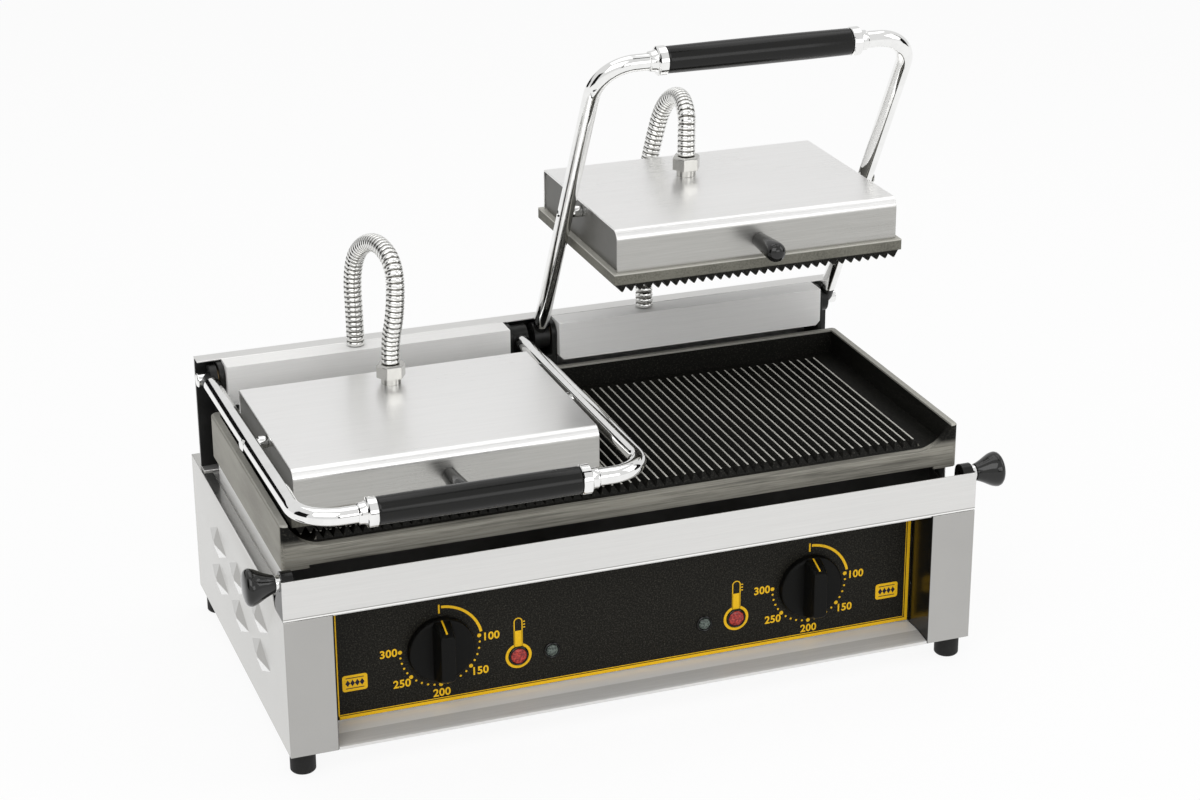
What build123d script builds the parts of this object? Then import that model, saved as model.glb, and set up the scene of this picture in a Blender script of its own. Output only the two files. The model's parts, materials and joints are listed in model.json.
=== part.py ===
from build123d import *
import math
import os

# Contact grill: one cast lower plate, two balanced upper plates on tubular handles.
# Millimetres, +Z up, the front faces -Y, and the origin lies under the middle of the grill.

# Casing
casing_width = 600.0
casing_depth = 336.0
side_height = 128.0
column_height = 120.0
column_width = 39.5
sheet = 1.2
seam = 0.1
panel_gap = 0.4
hole_clearance = 0.2
side_flange = 8.0
tray_notch = 28.0
tray_notch_slope = 8.0
fascia_recess = 36.0
fascia_sheet = 1.5
chin_ledge = 17.0
chin_height = 5.0
chin_lip = 2.5
chin_flange = 12.0
shelf_overhang = 10.0

# Feet
foot_height = 20.0
foot_diameter = 21.0
foot_inset_x = 13.0
foot_inset_y = 15.0

# Front juice tray
strip_height = 34.0
tray_depth = 60.0
tray_back_height = 22.0
tray_clearance = 0.4
tray_side_clearance = 1.5
tray_cheek_top = 10.0
tray_cheek_depth = 26.0
ear_length = 9.4
ear_radius = 9.0
ear_axis_height = 30.0
ear_stud_diameter = 6.0
tray_knob_length = 25.0
tray_knob_diameter = 30.0
tray_knob_neck = 14.0
tray_knob_shoulder = 15.5
ferrule_length = 4.4
ferrule_diameter = 13.0

# Pressed vents in the sides
vent_length = 66.0
vent_height = 30.0
vent_proud = 4.0
vent_slope = 71.5
vent_pitch = 75.0
vent_rows = (49.0, 84.0)
vent_columns = 3
vent_first = 90.0

# Top deck and its raised frame
deck_setback = 74.0
deck_lip = 20.0
frame_inset = 3.5
frame_height = 24.0
frame_setback = 37.0

# Lower cast plate
plate_width = 587.0
plate_setback = 24.0
plate_depth = 249.0
plate_wall = 6.5
plate_wall_height = 21.5
plate_floor = 7.5
floor_rise = 17.5
rib_pitch = 8.0
rib_height = 5.5
rib_flat = 1.2
rib_root = 0.4
rib_field_width = 524.0
rib_front_gap = 12.0
rib_back_gap = 22.0
skirt_width = 22.0
skirt_wall = 5.7
lip_gap = 2.5
plate_corner = 5.0
sweep_width = 30.0
sweep_depth = 7.0
rim_chamfer = 1.5

# Rear housing
housing_setback = 270.0
housing_depth = 37.0
housing_height = 231.0
back_flange = 14.5
back_half_width = 298.0
cover_height = 35.0
cover_depth = 22.0
cover_chamfer = 4.0
cover_gap_half = 23.0
cover_end = 277.0

# Hinge brackets, bushes and springs
hinge_setback = 290.0
hinge_height = 215.0
bracket_plate = 4.5
bracket_gap = 0.5
bracket_front = 276.0
bracket_drop = 2.0
bracket_corner = 10.0
bracket_front_web = 70.8
bracket_web = 3.0
shaft_diameter = 12.0
bush_wall = 2.0
bush_proud = 0.5
running_fit = 0.05
cover_notch_radius = 11.0
spring_wire = 2.5
spring_radius = 9.0
spring_pitch = 5.0
spring_turns = 4
spring_gap = 0.3

# Handles
arm_length = 327.0
arm_spacing = 280.0
closed_angle = 1.0
raised_angle = 61.0
tube_diameter = 14.0
tube_wall = 1.2
elbow_radius = 32.0
grip_length = 164.0
grip_diameter = 23.0
collar_length = 15.0
collar_diameter = 24.0
collar_neck = 17.0
collar_band = 8.0
hub_diameter = 24.0
hub_plug_reach = 16.0
hub_plug_diameter = 13.0
outer_hub_length = 6.0
plug_relief = 0.5
shaft_chamfer = 1.0

# Upper plates and their covers
lid_pitch = 300.0
lid_width = 254.0
lid_depth = 186.0
lid_cover_height = 36.0
lid_bend_radius = 9.0
lid_back_radius = 3.0
lid_sheet = 1.5
lid_flange = 4.0
lid_flange_height = 9.5
lid_rib_field = 256.0
side_plate = 2.0
side_plate_recess = 1.0
pivot_reach = 158.0
pivot_below_top = 9.5
pivot_offset = 2.5
pivot_diameter = 6.0
pivot_shoulder = 10.0
pivot_gap = 0.4
pivot_end = 6.0
pivot_head_diameter = 11.0
outer_pivot_head = 4.5
inner_pivot_head = 2.0
contact_gap = 0.5
lid_knob_drop = 22.0
lid_knob_length = 42.0
lid_knob_diameter = 17.0
lid_knob_neck = 12.0

# Heating
element_diameter = 8.0
element_bend = 16.0
element_reach = 100.0
element_inner = 34.0
element_margin = 34.0
lid_element_reach = 96.0
insulation_height = 13.0
insulation_margin = 14.0
shield_inset = 10.0

# Flexible conduits
hose_diameter = 16.0
hose_valley = 13.4
hose_bore = 10.0
hose_ribs = 16
hose_shares = (0.0, 0.25, 0.6, 0.85)
gland_height = 18.0
gland_size = 22.0
gland_neck = 17.0
gland_neck_height = 6.0
ferrule_height = 15.0
entry_diameter = 14.0
left_gland = (-3.0, 31.0)
right_gland = (-16.0, 61.0)
left_entry = (-160.0, 284.0)
right_entry = (109.0, 285.0)
# Each route: how far across, back and above the face of the ferrule a conduit passes.
left_route = ((0.5, -6, 58), (3, -32, 87), (5.5, -64, 92))
right_route = ((12, 30, 46), (20, 42, 85), (27, 36, 142), (30, 4, 172))

# Controls
dial_spacing = 328.0
dial_drop = 71.0
dial_skirt = 7.0
dial_grip_width = 15.0
dial_depth = 24.0
dial_diameter = 56.0
dial_gap = 0.8
dial_fillet = 2.0
spindle_diameter = 6.0
spindle_in_knob = 14.0
spindle_behind = 12.0
spindle_clearance = 1.0
neck_diameter = 11.0
neck_clearance = 0.5
thermostat_size = 44.0
thermostat_depth = 30.0
lamp_spacing = 194.0
lamp_drop = 91.0
lamp_diameter = 17.0
lamp_neck = 14.0
lamp_proud = 3.0
lamp_chamfer = 1.0
lamp_behind = 14.0
small_lamp_spacing = 136.0
small_lamp_diameter = 11.0
small_lamp_neck = 9.0

# Cable inlet and terminals at the back
inlet_stick_out = 14.0
inlet_diameter = 22.0
inlet_neck = 16.0
inlet_bore = 10.0
inlet_behind = 10.0
inlet_x = 200.0
inlet_height = 45.0
terminal_size = (60.0, 22.0, 18.0)
terminal_distance = 60.0

# Heights and depths that follow from the sizes above
handle_reach = arm_length * math.cos(math.radians(closed_angle)) + collar_diameter / 2 - hinge_setback
front = -(casing_depth + inlet_stick_out - handle_reach) / 2
back = front + casing_depth
half_width = casing_width / 2
inner_face = half_width - sheet
opening_half = half_width - column_width - panel_gap
base = foot_height
side_top = base + side_height
column_top = base + column_height
notch_back = front + tray_notch + tray_notch_slope
tray_bottom = column_top + tray_clearance
plate_front = front + plate_setback
plate_back = plate_front + plate_depth
plate_half = plate_width / 2
plate_seat = side_top + frame_height
floor_top = plate_seat + floor_rise
floor_bottom = floor_top - plate_floor
plate_top = floor_top + plate_wall_height
rib_top = floor_top + rib_height
rib_start = plate_front + rib_front_gap
rib_end = plate_back - rib_back_gap
frame_half = plate_half - frame_inset
deck_front = front + deck_setback
hinge_y = front + hinge_setback
hinge_z = base + hinge_height
housing_front = front + housing_setback
housing_rear = housing_front + housing_depth
housing_top = base + housing_height
bracket_back = housing_rear - sheet
bracket_outer = cover_end + bracket_gap
bracket_inner = cover_gap_half - bracket_gap - bracket_plate
fascia_y = front + fascia_recess
fascia_back = fascia_y + fascia_sheet + seam
frame_back = fascia_back + sheet
dial_z = side_top - dial_drop
lamp_z = side_top - lamp_drop
lid_half = lid_width / 2

os.makedirs("parts", exist_ok=True)


def save(builder, name):
    """Label a finished piece and write it under its own name."""
    builder.part.label = name
    export_step(builder.part, f"parts/{name}.step")


def across(x=0.0):
    """The plane seen from the right, with depth along its X and height along its Y."""
    return Plane(origin=(x, 0, 0), x_dir=(0, 1, 0), z_dir=(1, 0, 0))


def facing(y):
    """The plane seen from the front, with height along its Y; extruding goes forwards."""
    return Plane.XZ.offset(-y)


def folded_section(*points, side=Side.LEFT):
    """The section of a folded sheet on one side of a run of points."""
    with BuildSketch() as section:
        with BuildLine():
            Polyline(*points)
            offset(amount=sheet, side=side, kind=Kind.INTERSECTION)
        make_face()
    return section.sketch


def comb_section(count, height):
    """A row of V ribs on the X axis, with flat tips and a thin root below."""
    half = count * rib_pitch / 2
    points = [(-half, -rib_root), (-half, 0)]
    for rib in range(count):
        tip = (rib + 0.5) * rib_pitch - half
        points.append((tip - rib_flat / 2, height))
        points.append((tip + rib_flat / 2, height))
        points.append((tip + rib_pitch / 2, 0))
    points.append((half, -rib_root))
    with BuildSketch() as comb:
        with BuildLine():
            Polyline(*points, close=True)
        make_face()
    return comb.sketch


def arm_point(reach, angle):
    """Depth and height of a point on a handle's arm, reach away from the hinge."""
    turn = math.radians(angle)
    return (hinge_y - reach * math.cos(turn), hinge_z + reach * math.sin(turn))


def arm_plane(x, angle, reach=0.0):
    """The plane of a handle: X across the grill, Y along the arm, away from the hinge."""
    turn = math.radians(angle)
    y, z = arm_point(reach, angle)
    return Plane(origin=(x, y, z), x_dir=(1, 0, 0), z_dir=(0, -math.sin(turn), -math.cos(turn)))


# Base pan that closes the casing from below
with BuildPart() as base_pan:
    pan_front = front + chin_flange + panel_gap
    pan_back = back - sheet - panel_gap
    with BuildSketch(Plane.XY.offset(base)):
        with Locations((0, (pan_front + pan_back) / 2)):
            Rectangle(2 * (inner_face - panel_gap), pan_back - pan_front)
    extrude(amount=sheet)
save(base_pan, "base_pan")


# Folded sides, each with its front column, inner return, flanges and pressed vents
def side_casing(hand):
    with BuildPart() as casing:
        with BuildSketch(across(hand * half_width)):
            with BuildLine():
                Polyline(
                    (front, base),
                    (back, base),
                    (back, side_top),
                    (notch_back, side_top),
                    (front + tray_notch, column_top),
                    (front, column_top),
                    close=True,
                )
            make_face()
        extrude(amount=-hand * sheet)
        with BuildSketch(Plane.XY.offset(base)):
            with Locations((hand * (half_width - column_width / 2), front + sheet / 2)):
                Rectangle(column_width, sheet)
            with Locations((hand * (inner_face - side_flange / 2), back - sheet / 2)):
                Rectangle(side_flange, sheet)
        extrude(amount=column_height)
        with BuildSketch(Plane.XY.offset(base + sheet + seam)):
            with Locations((hand * (half_width - column_width + sheet / 2), front + fascia_recess / 2)):
                Rectangle(sheet, fascia_recess)
        extrude(amount=column_height - sheet - seam)
        with BuildSketch(Plane.XY.offset(side_top - sheet)):
            with Locations((hand * (inner_face - side_flange / 2), (notch_back + back) / 2)):
                Rectangle(side_flange, back - notch_back)
        extrude(amount=sheet)
        for column in range(vent_columns):
            for row in vent_rows:
                spot = Plane(
                    origin=(hand * half_width, front + vent_first + column * vent_pitch, base + row),
                    x_dir=(0, 1, 0),
                    z_dir=(hand, 0, 0),
                )
                with BuildSketch(spot):
                    Polygon(
                        (-vent_length / 2, 0),
                        (0, -vent_height / 2),
                        (vent_length / 2, 0),
                        (0, vent_height / 2),
                    )
                extrude(amount=vent_proud, taper=vent_slope)
    return casing


for side_name, hand in (("left", -1), ("right", 1)):
    save(side_casing(hand), f"{side_name}_side_casing")

# Front frame: the chin, the wall behind the fascia and the shelf under the tray, in one fold
with BuildPart() as front_frame:
    with BuildSketch(across()):
        add(
            folded_section(
                (front + chin_flange, base),
                (front, base),
                (front, base + chin_lip),
                (fascia_y - chin_ledge, base + chin_height),
                (fascia_back, base + chin_height),
                (fascia_back, column_top - sheet),
                (front + sheet + panel_gap, column_top - sheet),
                side=Side.RIGHT,
            )
        )
        with Locations(((frame_back + front + tray_depth + shelf_overhang) / 2, column_top - sheet / 2)):
            Rectangle(front + tray_depth + shelf_overhang - frame_back, sheet)
    extrude(amount=opening_half, both=True)
    with BuildSketch(facing(frame_back)):
        for hand in (-1, 1):
            with Locations((hand * dial_spacing / 2, dial_z)):
                Circle(neck_diameter / 2 + neck_clearance)
            with Locations((hand * lamp_spacing / 2, lamp_z)):
                Circle(lamp_neck / 2 + hole_clearance)
            with Locations((hand * small_lamp_spacing / 2, lamp_z)):
                Circle(small_lamp_neck / 2 + hole_clearance)
    extrude(amount=sheet, mode=Mode.SUBTRACT)
save(front_frame, "front_frame")

# Black fascia with its holes for the spindles and lamps
with BuildPart() as control_fascia:
    fascia_bottom = base + chin_height + sheet + seam
    fascia_top = column_top - sheet - seam
    with BuildSketch(facing(fascia_y)):
        with Locations((0, (fascia_bottom + fascia_top) / 2)):
            Rectangle(2 * opening_half, fascia_top - fascia_bottom)
        for hand in (-1, 1):
            with Locations((hand * dial_spacing / 2, dial_z)):
                Circle(spindle_diameter / 2 + spindle_clearance, mode=Mode.SUBTRACT)
            with Locations((hand * lamp_spacing / 2, lamp_z)):
                Circle(lamp_neck / 2 + hole_clearance, mode=Mode.SUBTRACT)
            with Locations((hand * small_lamp_spacing / 2, lamp_z)):
                Circle(small_lamp_neck / 2 + hole_clearance, mode=Mode.SUBTRACT)
    extrude(amount=-fascia_sheet)
save(control_fascia, "control_fascia")

# Back panel between the flanges of the sides
with BuildPart() as back_panel:
    panel_height = side_height - 2 * sheet - seam
    with BuildSketch(facing(back)):
        with Locations((0, base + panel_height / 2)):
            Rectangle(2 * (inner_face - side_flange - panel_gap), panel_height)
        with Locations((inlet_x, base + inlet_height)):
            Circle(inlet_neck / 2 + hole_clearance, mode=Mode.SUBTRACT)
    extrude(amount=sheet)
save(back_panel, "back_panel")

# Top deck with the raised frame that carries the plate
with BuildPart() as top_deck:
    deck_back = back - 2 * sheet - panel_gap
    opening_front = deck_front + deck_lip
    opening_back = plate_back - deck_lip
    frame_front = front + frame_setback
    frame_back_wall = plate_back - plate_wall
    with BuildSketch(Plane.XY.offset(side_top - 2 * sheet)):
        with Locations((0, (deck_front + deck_back) / 2)):
            Rectangle(2 * (inner_face - panel_gap), deck_back - deck_front)
        with Locations((0, (opening_front + opening_back) / 2)):
            Rectangle(2 * (frame_half - deck_lip), opening_back - opening_front, mode=Mode.SUBTRACT)
    extrude(amount=sheet)
    with BuildSketch(Plane.XY.offset(side_top - 2 * sheet)):
        for hand in (-1, 1):
            with Locations((hand * (frame_half - sheet / 2), (frame_front + frame_back_wall) / 2)):
                Rectangle(sheet, frame_back_wall - frame_front)
        for wall_y in (deck_front, frame_back_wall - sheet):
            with Locations((0, wall_y + sheet / 2)):
                Rectangle(2 * frame_half, sheet)
    extrude(amount=plate_seat - side_top + 2 * sheet)
save(top_deck, "top_deck")

# Cast lower plate: a floor open to the front, walls on three sides, a skirt and V ribs
with BuildPart() as lower_plate:
    plate_middle = (plate_front + plate_back) / 2
    with BuildSketch(Plane.XY.offset(plate_seat)):
        with Locations((0, plate_middle)):
            Rectangle(plate_width, plate_depth)
    extrude(amount=plate_top - plate_seat)
    fillet(lower_plate.edges().filter_by(Axis.Z), radius=plate_corner)
    rim = lower_plate.edges().group_by(Axis.Z)[-1]
    chamfer(rim, length=rim_chamfer)
    with BuildSketch(Plane.XY.offset(floor_top)):
        with Locations((0, plate_middle - plate_wall / 2)):
            Rectangle(plate_width - 2 * plate_wall, plate_depth - plate_wall)
    extrude(amount=plate_top - floor_top, mode=Mode.SUBTRACT)
    with BuildSketch(Plane.XY.offset(plate_seat)):
        with Locations((0, plate_middle)):
            Rectangle(plate_width - 2 * skirt_wall, plate_depth - 2 * plate_wall)
    extrude(amount=floor_bottom - plate_seat, mode=Mode.SUBTRACT)
    with BuildSketch(Plane.XY.offset(plate_seat)):
        with Locations((0, plate_front + plate_wall)):
            Rectangle(plate_width - 2 * skirt_width, 2 * plate_wall)
    extrude(amount=lip_gap, mode=Mode.SUBTRACT)
    # The side walls meet the front lip in a hollow curve.
    inner_wall = plate_half - plate_wall
    with BuildSketch(facing(plate_front)):
        for hand in (-1, 1):
            with BuildLine():
                heel = (hand * (inner_wall - sweep_width), floor_top)
                crest = (hand * inner_wall, plate_top - rim_chamfer)
                TangentArc(heel, crest, tangent=(hand, 0))
                Polyline(crest, (hand * inner_wall, floor_top), heel)
            make_face()
    extrude(amount=-sweep_depth)
    with BuildSketch(Plane(origin=(0, rib_end, floor_top), x_dir=(1, 0, 0), z_dir=(0, -1, 0))):
        add(comb_section(round(rib_field_width / rib_pitch), rib_height))
    extrude(amount=rib_end - rib_start)
    with BuildSketch(across()):
        for end, slope in ((rib_start, 1), (rib_end, -1)):
            with BuildLine():
                Polyline(
                    (end, floor_top),
                    (end + slope * rib_height, rib_top),
                    (end, rib_top),
                    close=True,
                )
            make_face()
    extrude(amount=rib_field_width / 2, both=True, mode=Mode.SUBTRACT)
save(lower_plate, "lower_plate")


# Heating rods, bent in three bows in a level plane
def add_rod(centre, first, last, z, reach, inner):
    """One heating rod that starts and ends at depth first and bows towards depth last."""
    step = math.copysign(element_margin, last - first)
    with BuildPart() as rod:
        with BuildLine():
            run = FilletPolyline(
                (centre - reach, first, z),
                (centre - reach, last, z),
                (centre - inner, last, z),
                (centre - inner, first + step, z),
                (centre + inner, first + step, z),
                (centre + inner, last, z),
                (centre + reach, last, z),
                (centre + reach, first, z),
                radius=element_bend,
            )
        with BuildSketch(Plane(origin=run @ 0, z_dir=run % 0)):
            RegularPolygon(radius=element_diameter / 2, side_count=8, major_radius=True)
        sweep(path=run)
    return rod.part


with BuildPart() as lower_elements:
    for hand in (-1, 1):
        rod_z = floor_bottom - element_diameter / 2 - seam
        rod_span = (plate_back - element_margin, plate_front + element_margin)
        add(add_rod(hand * lid_pitch / 2, *rod_span, rod_z, element_reach, element_inner))
save(lower_elements, "lower_elements")

# Heat shield that lies on the deck round its opening
with BuildPart() as heat_shield:
    with BuildSketch(Plane.XY.offset(side_top - sheet + seam)):
        with Locations((0, (opening_front + opening_back) / 2)):
            Rectangle(2 * (frame_half - shield_inset), opening_back - opening_front + 2 * shield_inset)
    extrude(amount=sheet)
save(heat_shield, "heat_shield")


# Rear housing: two box covers in front, one full-width sheet behind
def rear_cover(hand, entry):
    """A box cover, open below and behind, with notches for the shaft and a hole for the conduit."""
    with BuildPart() as cover:
        with BuildSketch(Plane.XY.offset(housing_top)):
            with Locations((hand * (cover_gap_half + cover_end) / 2, housing_front + cover_depth / 2)):
                Rectangle(cover_end - cover_gap_half, cover_depth)
        extrude(amount=-cover_height)
        corners = cover.edges().filter_by(Axis.Y).group_by(Axis.Z)[0]
        chamfer(corners, length=cover_chamfer)
        open_faces = cover.faces().sort_by(Axis.Z)[0:1] + cover.faces().sort_by(Axis.Y)[-1:]
        offset(amount=-sheet, openings=open_faces)
        with BuildSketch(across()):
            with Locations((hinge_y, hinge_z)):
                Circle(cover_notch_radius)
                with Locations((cover_notch_radius, 0)):
                    Rectangle(2 * cover_notch_radius, 2 * cover_notch_radius)
        extrude(amount=hand * (cover_end + seam), mode=Mode.SUBTRACT)
        with BuildSketch(Plane.XY.offset(housing_top)):
            with Locations((entry[0], front + entry[1])):
                Circle(hose_bore / 2)
        extrude(amount=-sheet, mode=Mode.SUBTRACT)
    return cover


save(rear_cover(-1, left_entry), "left_rear_cover")
save(rear_cover(1, right_entry), "right_rear_cover")

with BuildPart() as housing_back:
    with BuildSketch(across()):
        add(
            folded_section(
                (housing_rear - back_flange, housing_top - sheet),
                (housing_rear - sheet, housing_top - sheet),
                (housing_rear - sheet, side_top + sheet),
                (housing_rear - back_flange, side_top + sheet),
            )
        )
    extrude(amount=back_half_width, both=True)
save(housing_back, "housing_back")


# Hinge brackets that carry the shafts in plain bushes
def bearing_plate(x, hand):
    """An upright plate with a rounded front corner and a bore for the bush."""
    plate_y = front + bracket_front
    plate_z = housing_top - bracket_drop
    with BuildPart() as plate:
        with BuildSketch(across(x)):
            with BuildLine():
                FilletPolyline(
                    (plate_y, side_top + sheet),
                    (plate_y, plate_z),
                    (bracket_back, plate_z),
                    radius=bracket_corner,
                )
                Polyline(
                    (bracket_back, plate_z),
                    (bracket_back, side_top + sheet),
                    (plate_y, side_top + sheet),
                )
            make_face()
            with Locations((hinge_y, hinge_z)):
                Circle(shaft_diameter / 2 + bush_wall, mode=Mode.SUBTRACT)
        extrude(amount=hand * bracket_plate)
    return plate.part


with BuildPart() as centre_bracket:
    centre_half = bracket_inner + bracket_plate
    for hand in (-1, 1):
        add(bearing_plate(hand * bracket_inner, hand))
    with BuildSketch(facing(bracket_back)):
        with Locations((0, (side_top + sheet + housing_top - bracket_drop) / 2)):
            Rectangle(2 * centre_half, housing_top - bracket_drop - side_top - sheet)
    extrude(amount=bracket_web)
    with BuildSketch(facing(front + bracket_front)):
        with Locations((0, side_top + sheet + bracket_front_web / 2)):
            Rectangle(2 * centre_half, bracket_front_web)
    extrude(amount=-bracket_plate)
save(centre_bracket, "centre_bracket")

with BuildPart() as end_brackets:
    web_height = housing_top - bracket_drop - side_top - sheet
    web_middle = side_top + sheet + web_height / 2
    for hand in (-1, 1):
        add(bearing_plate(hand * bracket_outer, hand))
        with BuildSketch(facing(bracket_back)):
            with Locations((hand * (bracket_outer + back_half_width) / 2, web_middle)):
                Rectangle(back_half_width - bracket_outer, web_height)
        extrude(amount=bracket_web)
save(end_brackets, "end_brackets")

with BuildPart() as hinge_bushes:
    for hand in (-1, 1):
        for start, side in ((bracket_inner, -1), (bracket_outer + bracket_plate, 1)):
            tip = start + side * bush_proud
            with BuildSketch(across(hand * tip)):
                with Locations((hinge_y, hinge_z)):
                    Circle(shaft_diameter / 2 + bush_wall)
                    Circle(shaft_diameter / 2 + running_fit, mode=Mode.SUBTRACT)
            extrude(amount=-hand * side * (bracket_plate + bush_proud))
save(hinge_bushes, "hinge_bushes")


def counter_spring(hand):
    """A coil of square wire round the hinge shaft, against the outer bracket."""
    start = hand * (bracket_outer - spring_gap - spring_wire / 2)
    with BuildPart() as spring:
        with BuildLine():
            coil = Helix(
                pitch=spring_pitch,
                height=spring_pitch * spring_turns,
                radius=spring_radius,
                center=(start, hinge_y, hinge_z),
                direction=(-hand, 0, 0),
            )
        with BuildSketch(Plane(origin=coil @ 0, x_dir=(1, 0, 0), z_dir=coil % 0)):
            Rectangle(spring_wire, spring_wire)
        sweep(path=coil, is_frenet=True)
    return spring.part


with BuildPart() as counter_springs:
    for hand in (-1, 1):
        add(counter_spring(hand))
save(counter_springs, "counter_springs")

# Ferrules that the conduits rise from
with BuildPart() as conduit_ferrules:
    for entry in (left_entry, right_entry):
        with BuildSketch(Plane.XY.offset(housing_top)):
            with Locations((entry[0], front + entry[1])):
                Circle(entry_diameter / 2)
                Circle(hose_bore / 2, mode=Mode.SUBTRACT)
        extrude(amount=ferrule_height)
save(conduit_ferrules, "conduit_ferrules")

# Thermostats behind the front frame, each with a neck that carries its spindle
with BuildPart() as thermostat_bodies:
    for hand in (-1, 1):
        with BuildSketch(facing(frame_back + seam)):
            with Locations((hand * dial_spacing / 2, dial_z)):
                Rectangle(thermostat_size, thermostat_size)
        extrude(amount=-thermostat_depth)
        with BuildSketch(facing(frame_back + seam)):
            with Locations((hand * dial_spacing / 2, dial_z)):
                Circle(neck_diameter / 2)
        extrude(amount=frame_back - fascia_back)
        with BuildSketch(facing(fascia_back + seam)):
            with Locations((hand * dial_spacing / 2, dial_z)):
                Circle(spindle_diameter / 2 + running_fit)
        extrude(amount=-spindle_behind - sheet, mode=Mode.SUBTRACT)
save(thermostat_bodies, "thermostat_bodies")


def dial_parts(hand):
    """A control knob with a raised grip bar, and the spindle that it turns."""
    centre = (hand * dial_spacing / 2, dial_z)
    knob_back = fascia_y - dial_gap
    with BuildPart() as knob:
        with BuildSketch(facing(knob_back)):
            with Locations(centre):
                Circle(dial_diameter / 2)
        extrude(amount=dial_skirt)
        with BuildSketch(facing(knob_back - dial_skirt)):
            with Locations(centre):
                Circle(dial_diameter / 2 - dial_fillet)
                Rectangle(dial_grip_width, dial_diameter, mode=Mode.INTERSECT)
        extrude(amount=dial_depth - dial_skirt)
        fillet(knob.edges().group_by(Axis.Y)[0], radius=dial_fillet)
        with BuildSketch(facing(knob_back)):
            with Locations(centre):
                Circle(spindle_diameter / 2)
        extrude(amount=spindle_in_knob, mode=Mode.SUBTRACT)
    with BuildPart() as spindle:
        with BuildSketch(facing(knob_back - spindle_in_knob)):
            with Locations(centre):
                Circle(spindle_diameter / 2)
        extrude(amount=-(fascia_back + spindle_behind - knob_back + spindle_in_knob))
    return knob, spindle


for side_name, hand in (("left", -1), ("right", 1)):
    knob, spindle = dial_parts(hand)
    save(knob, f"{side_name}_thermostat_knob")
    save(spindle, f"{side_name}_spindle")


def lamp_pair(spacing, diameter, neck):
    """Two round lamps with a flanged lens in front of the fascia and a neck behind it."""
    with BuildPart() as lamps:
        for hand in (-1, 1):
            with BuildSketch(facing(fascia_y)):
                with Locations((hand * spacing / 2, lamp_z)):
                    Circle(diameter / 2)
            extrude(amount=lamp_proud)
            with BuildSketch(facing(fascia_y)):
                with Locations((hand * spacing / 2, lamp_z)):
                    Circle(neck / 2)
            extrude(amount=-lamp_behind)
        chamfer(lamps.edges().group_by(Axis.Y)[0], length=lamp_chamfer)
    return lamps


save(lamp_pair(lamp_spacing, lamp_diameter, lamp_neck), "red_lamps")
save(lamp_pair(small_lamp_spacing, small_lamp_diameter, small_lamp_neck), "small_lamps")

# Terminal block on the base pan, and the cable gland in the back panel
with BuildPart() as terminal_block:
    with BuildSketch(Plane.XY.offset(base + sheet + seam)):
        with Locations((inlet_x, back - terminal_distance)):
            Rectangle(terminal_size[0], terminal_size[1])
    extrude(amount=terminal_size[2])
save(terminal_block, "terminal_block")

with BuildPart() as cable_inlet:
    with BuildSketch(facing(back)):
        with Locations((inlet_x, base + inlet_height)):
            RegularPolygon(radius=inlet_diameter / 2, side_count=6, major_radius=False)
    extrude(amount=-inlet_stick_out)
    chamfer(cable_inlet.edges().group_by(Axis.Y)[-1], length=rim_chamfer)
    with BuildSketch(facing(back)):
        with Locations((inlet_x, base + inlet_height)):
            Circle(inlet_neck / 2)
    extrude(amount=inlet_behind)
    with BuildSketch(facing(back + inlet_stick_out)):
        with Locations((inlet_x, base + inlet_height)):
            Circle(inlet_bore / 2)
    extrude(amount=inlet_stick_out + inlet_behind, mode=Mode.SUBTRACT)
save(cable_inlet, "cable_inlet")

# Rubber feet
with BuildPart() as feet:
    for x in (-half_width + foot_inset_x, half_width - foot_inset_x):
        for y in (front + foot_inset_y, back - foot_inset_y):
            with BuildSketch(Plane.XY):
                with Locations((x, y)):
                    Circle(foot_diameter / 2)
            extrude(amount=foot_height)
    chamfer(feet.edges().group_by(Axis.Z)[0], length=rim_chamfer)
save(feet, "feet")

# Juice tray: front strip, cheeks that fill the notches, floor and back wall
tray_half = frame_half - sheet - tray_side_clearance
strip_top = tray_bottom + strip_height
ear_y = front + sheet + panel_gap + ear_radius
ear_z = base + column_height + ear_axis_height
with BuildPart() as juice_tray:
    with BuildSketch(Plane.XY.offset(tray_bottom)):
        with Locations((0, front + sheet / 2)):
            Rectangle(casing_width, sheet)
    extrude(amount=strip_height)
    with BuildSketch(Plane.XY.offset(tray_bottom)):
        with Locations((0, front + tray_cheek_depth / 2)):
            Rectangle(casing_width, tray_cheek_depth)
        with Locations((0, front + tray_depth / 2)):
            Rectangle(2 * tray_half, tray_depth)
    extrude(amount=sheet)
    with BuildSketch(facing(front + tray_depth)):
        with Locations((0, tray_bottom + tray_back_height / 2)):
            Rectangle(2 * tray_half, tray_back_height)
    extrude(amount=sheet)
    for hand in (-1, 1):
        with BuildSketch(across(hand * half_width)):
            with BuildLine():
                Polyline(
                    (front, tray_bottom),
                    (front, strip_top),
                    (front + tray_cheek_top, strip_top),
                    (front + tray_cheek_depth, side_top),
                    (front + tray_cheek_depth, tray_bottom),
                    close=True,
                )
            make_face()
            with Locations((ear_y, ear_z)):
                Circle(ferrule_diameter / 2 + tray_clearance, mode=Mode.SUBTRACT)
        extrude(amount=-hand * sheet)
        with BuildSketch(across(hand * tray_half)):
            with BuildLine():
                Polyline(
                    (front + tray_cheek_depth, tray_bottom),
                    (front + tray_cheek_depth, side_top),
                    (front + tray_depth, tray_bottom + tray_back_height),
                    (front + tray_depth, tray_bottom),
                    close=True,
                )
            make_face()
        extrude(amount=-hand * sheet)
        with BuildSketch(Plane.XY.offset(tray_bottom)):
            web_x = hand * (tray_half - sheet + half_width) / 2
            with Locations((web_x, front + tray_cheek_depth - sheet / 2)):
                Rectangle(half_width - tray_half + sheet, sheet)
        extrude(amount=side_top - tray_bottom)
save(juice_tray, "juice_tray")

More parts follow.
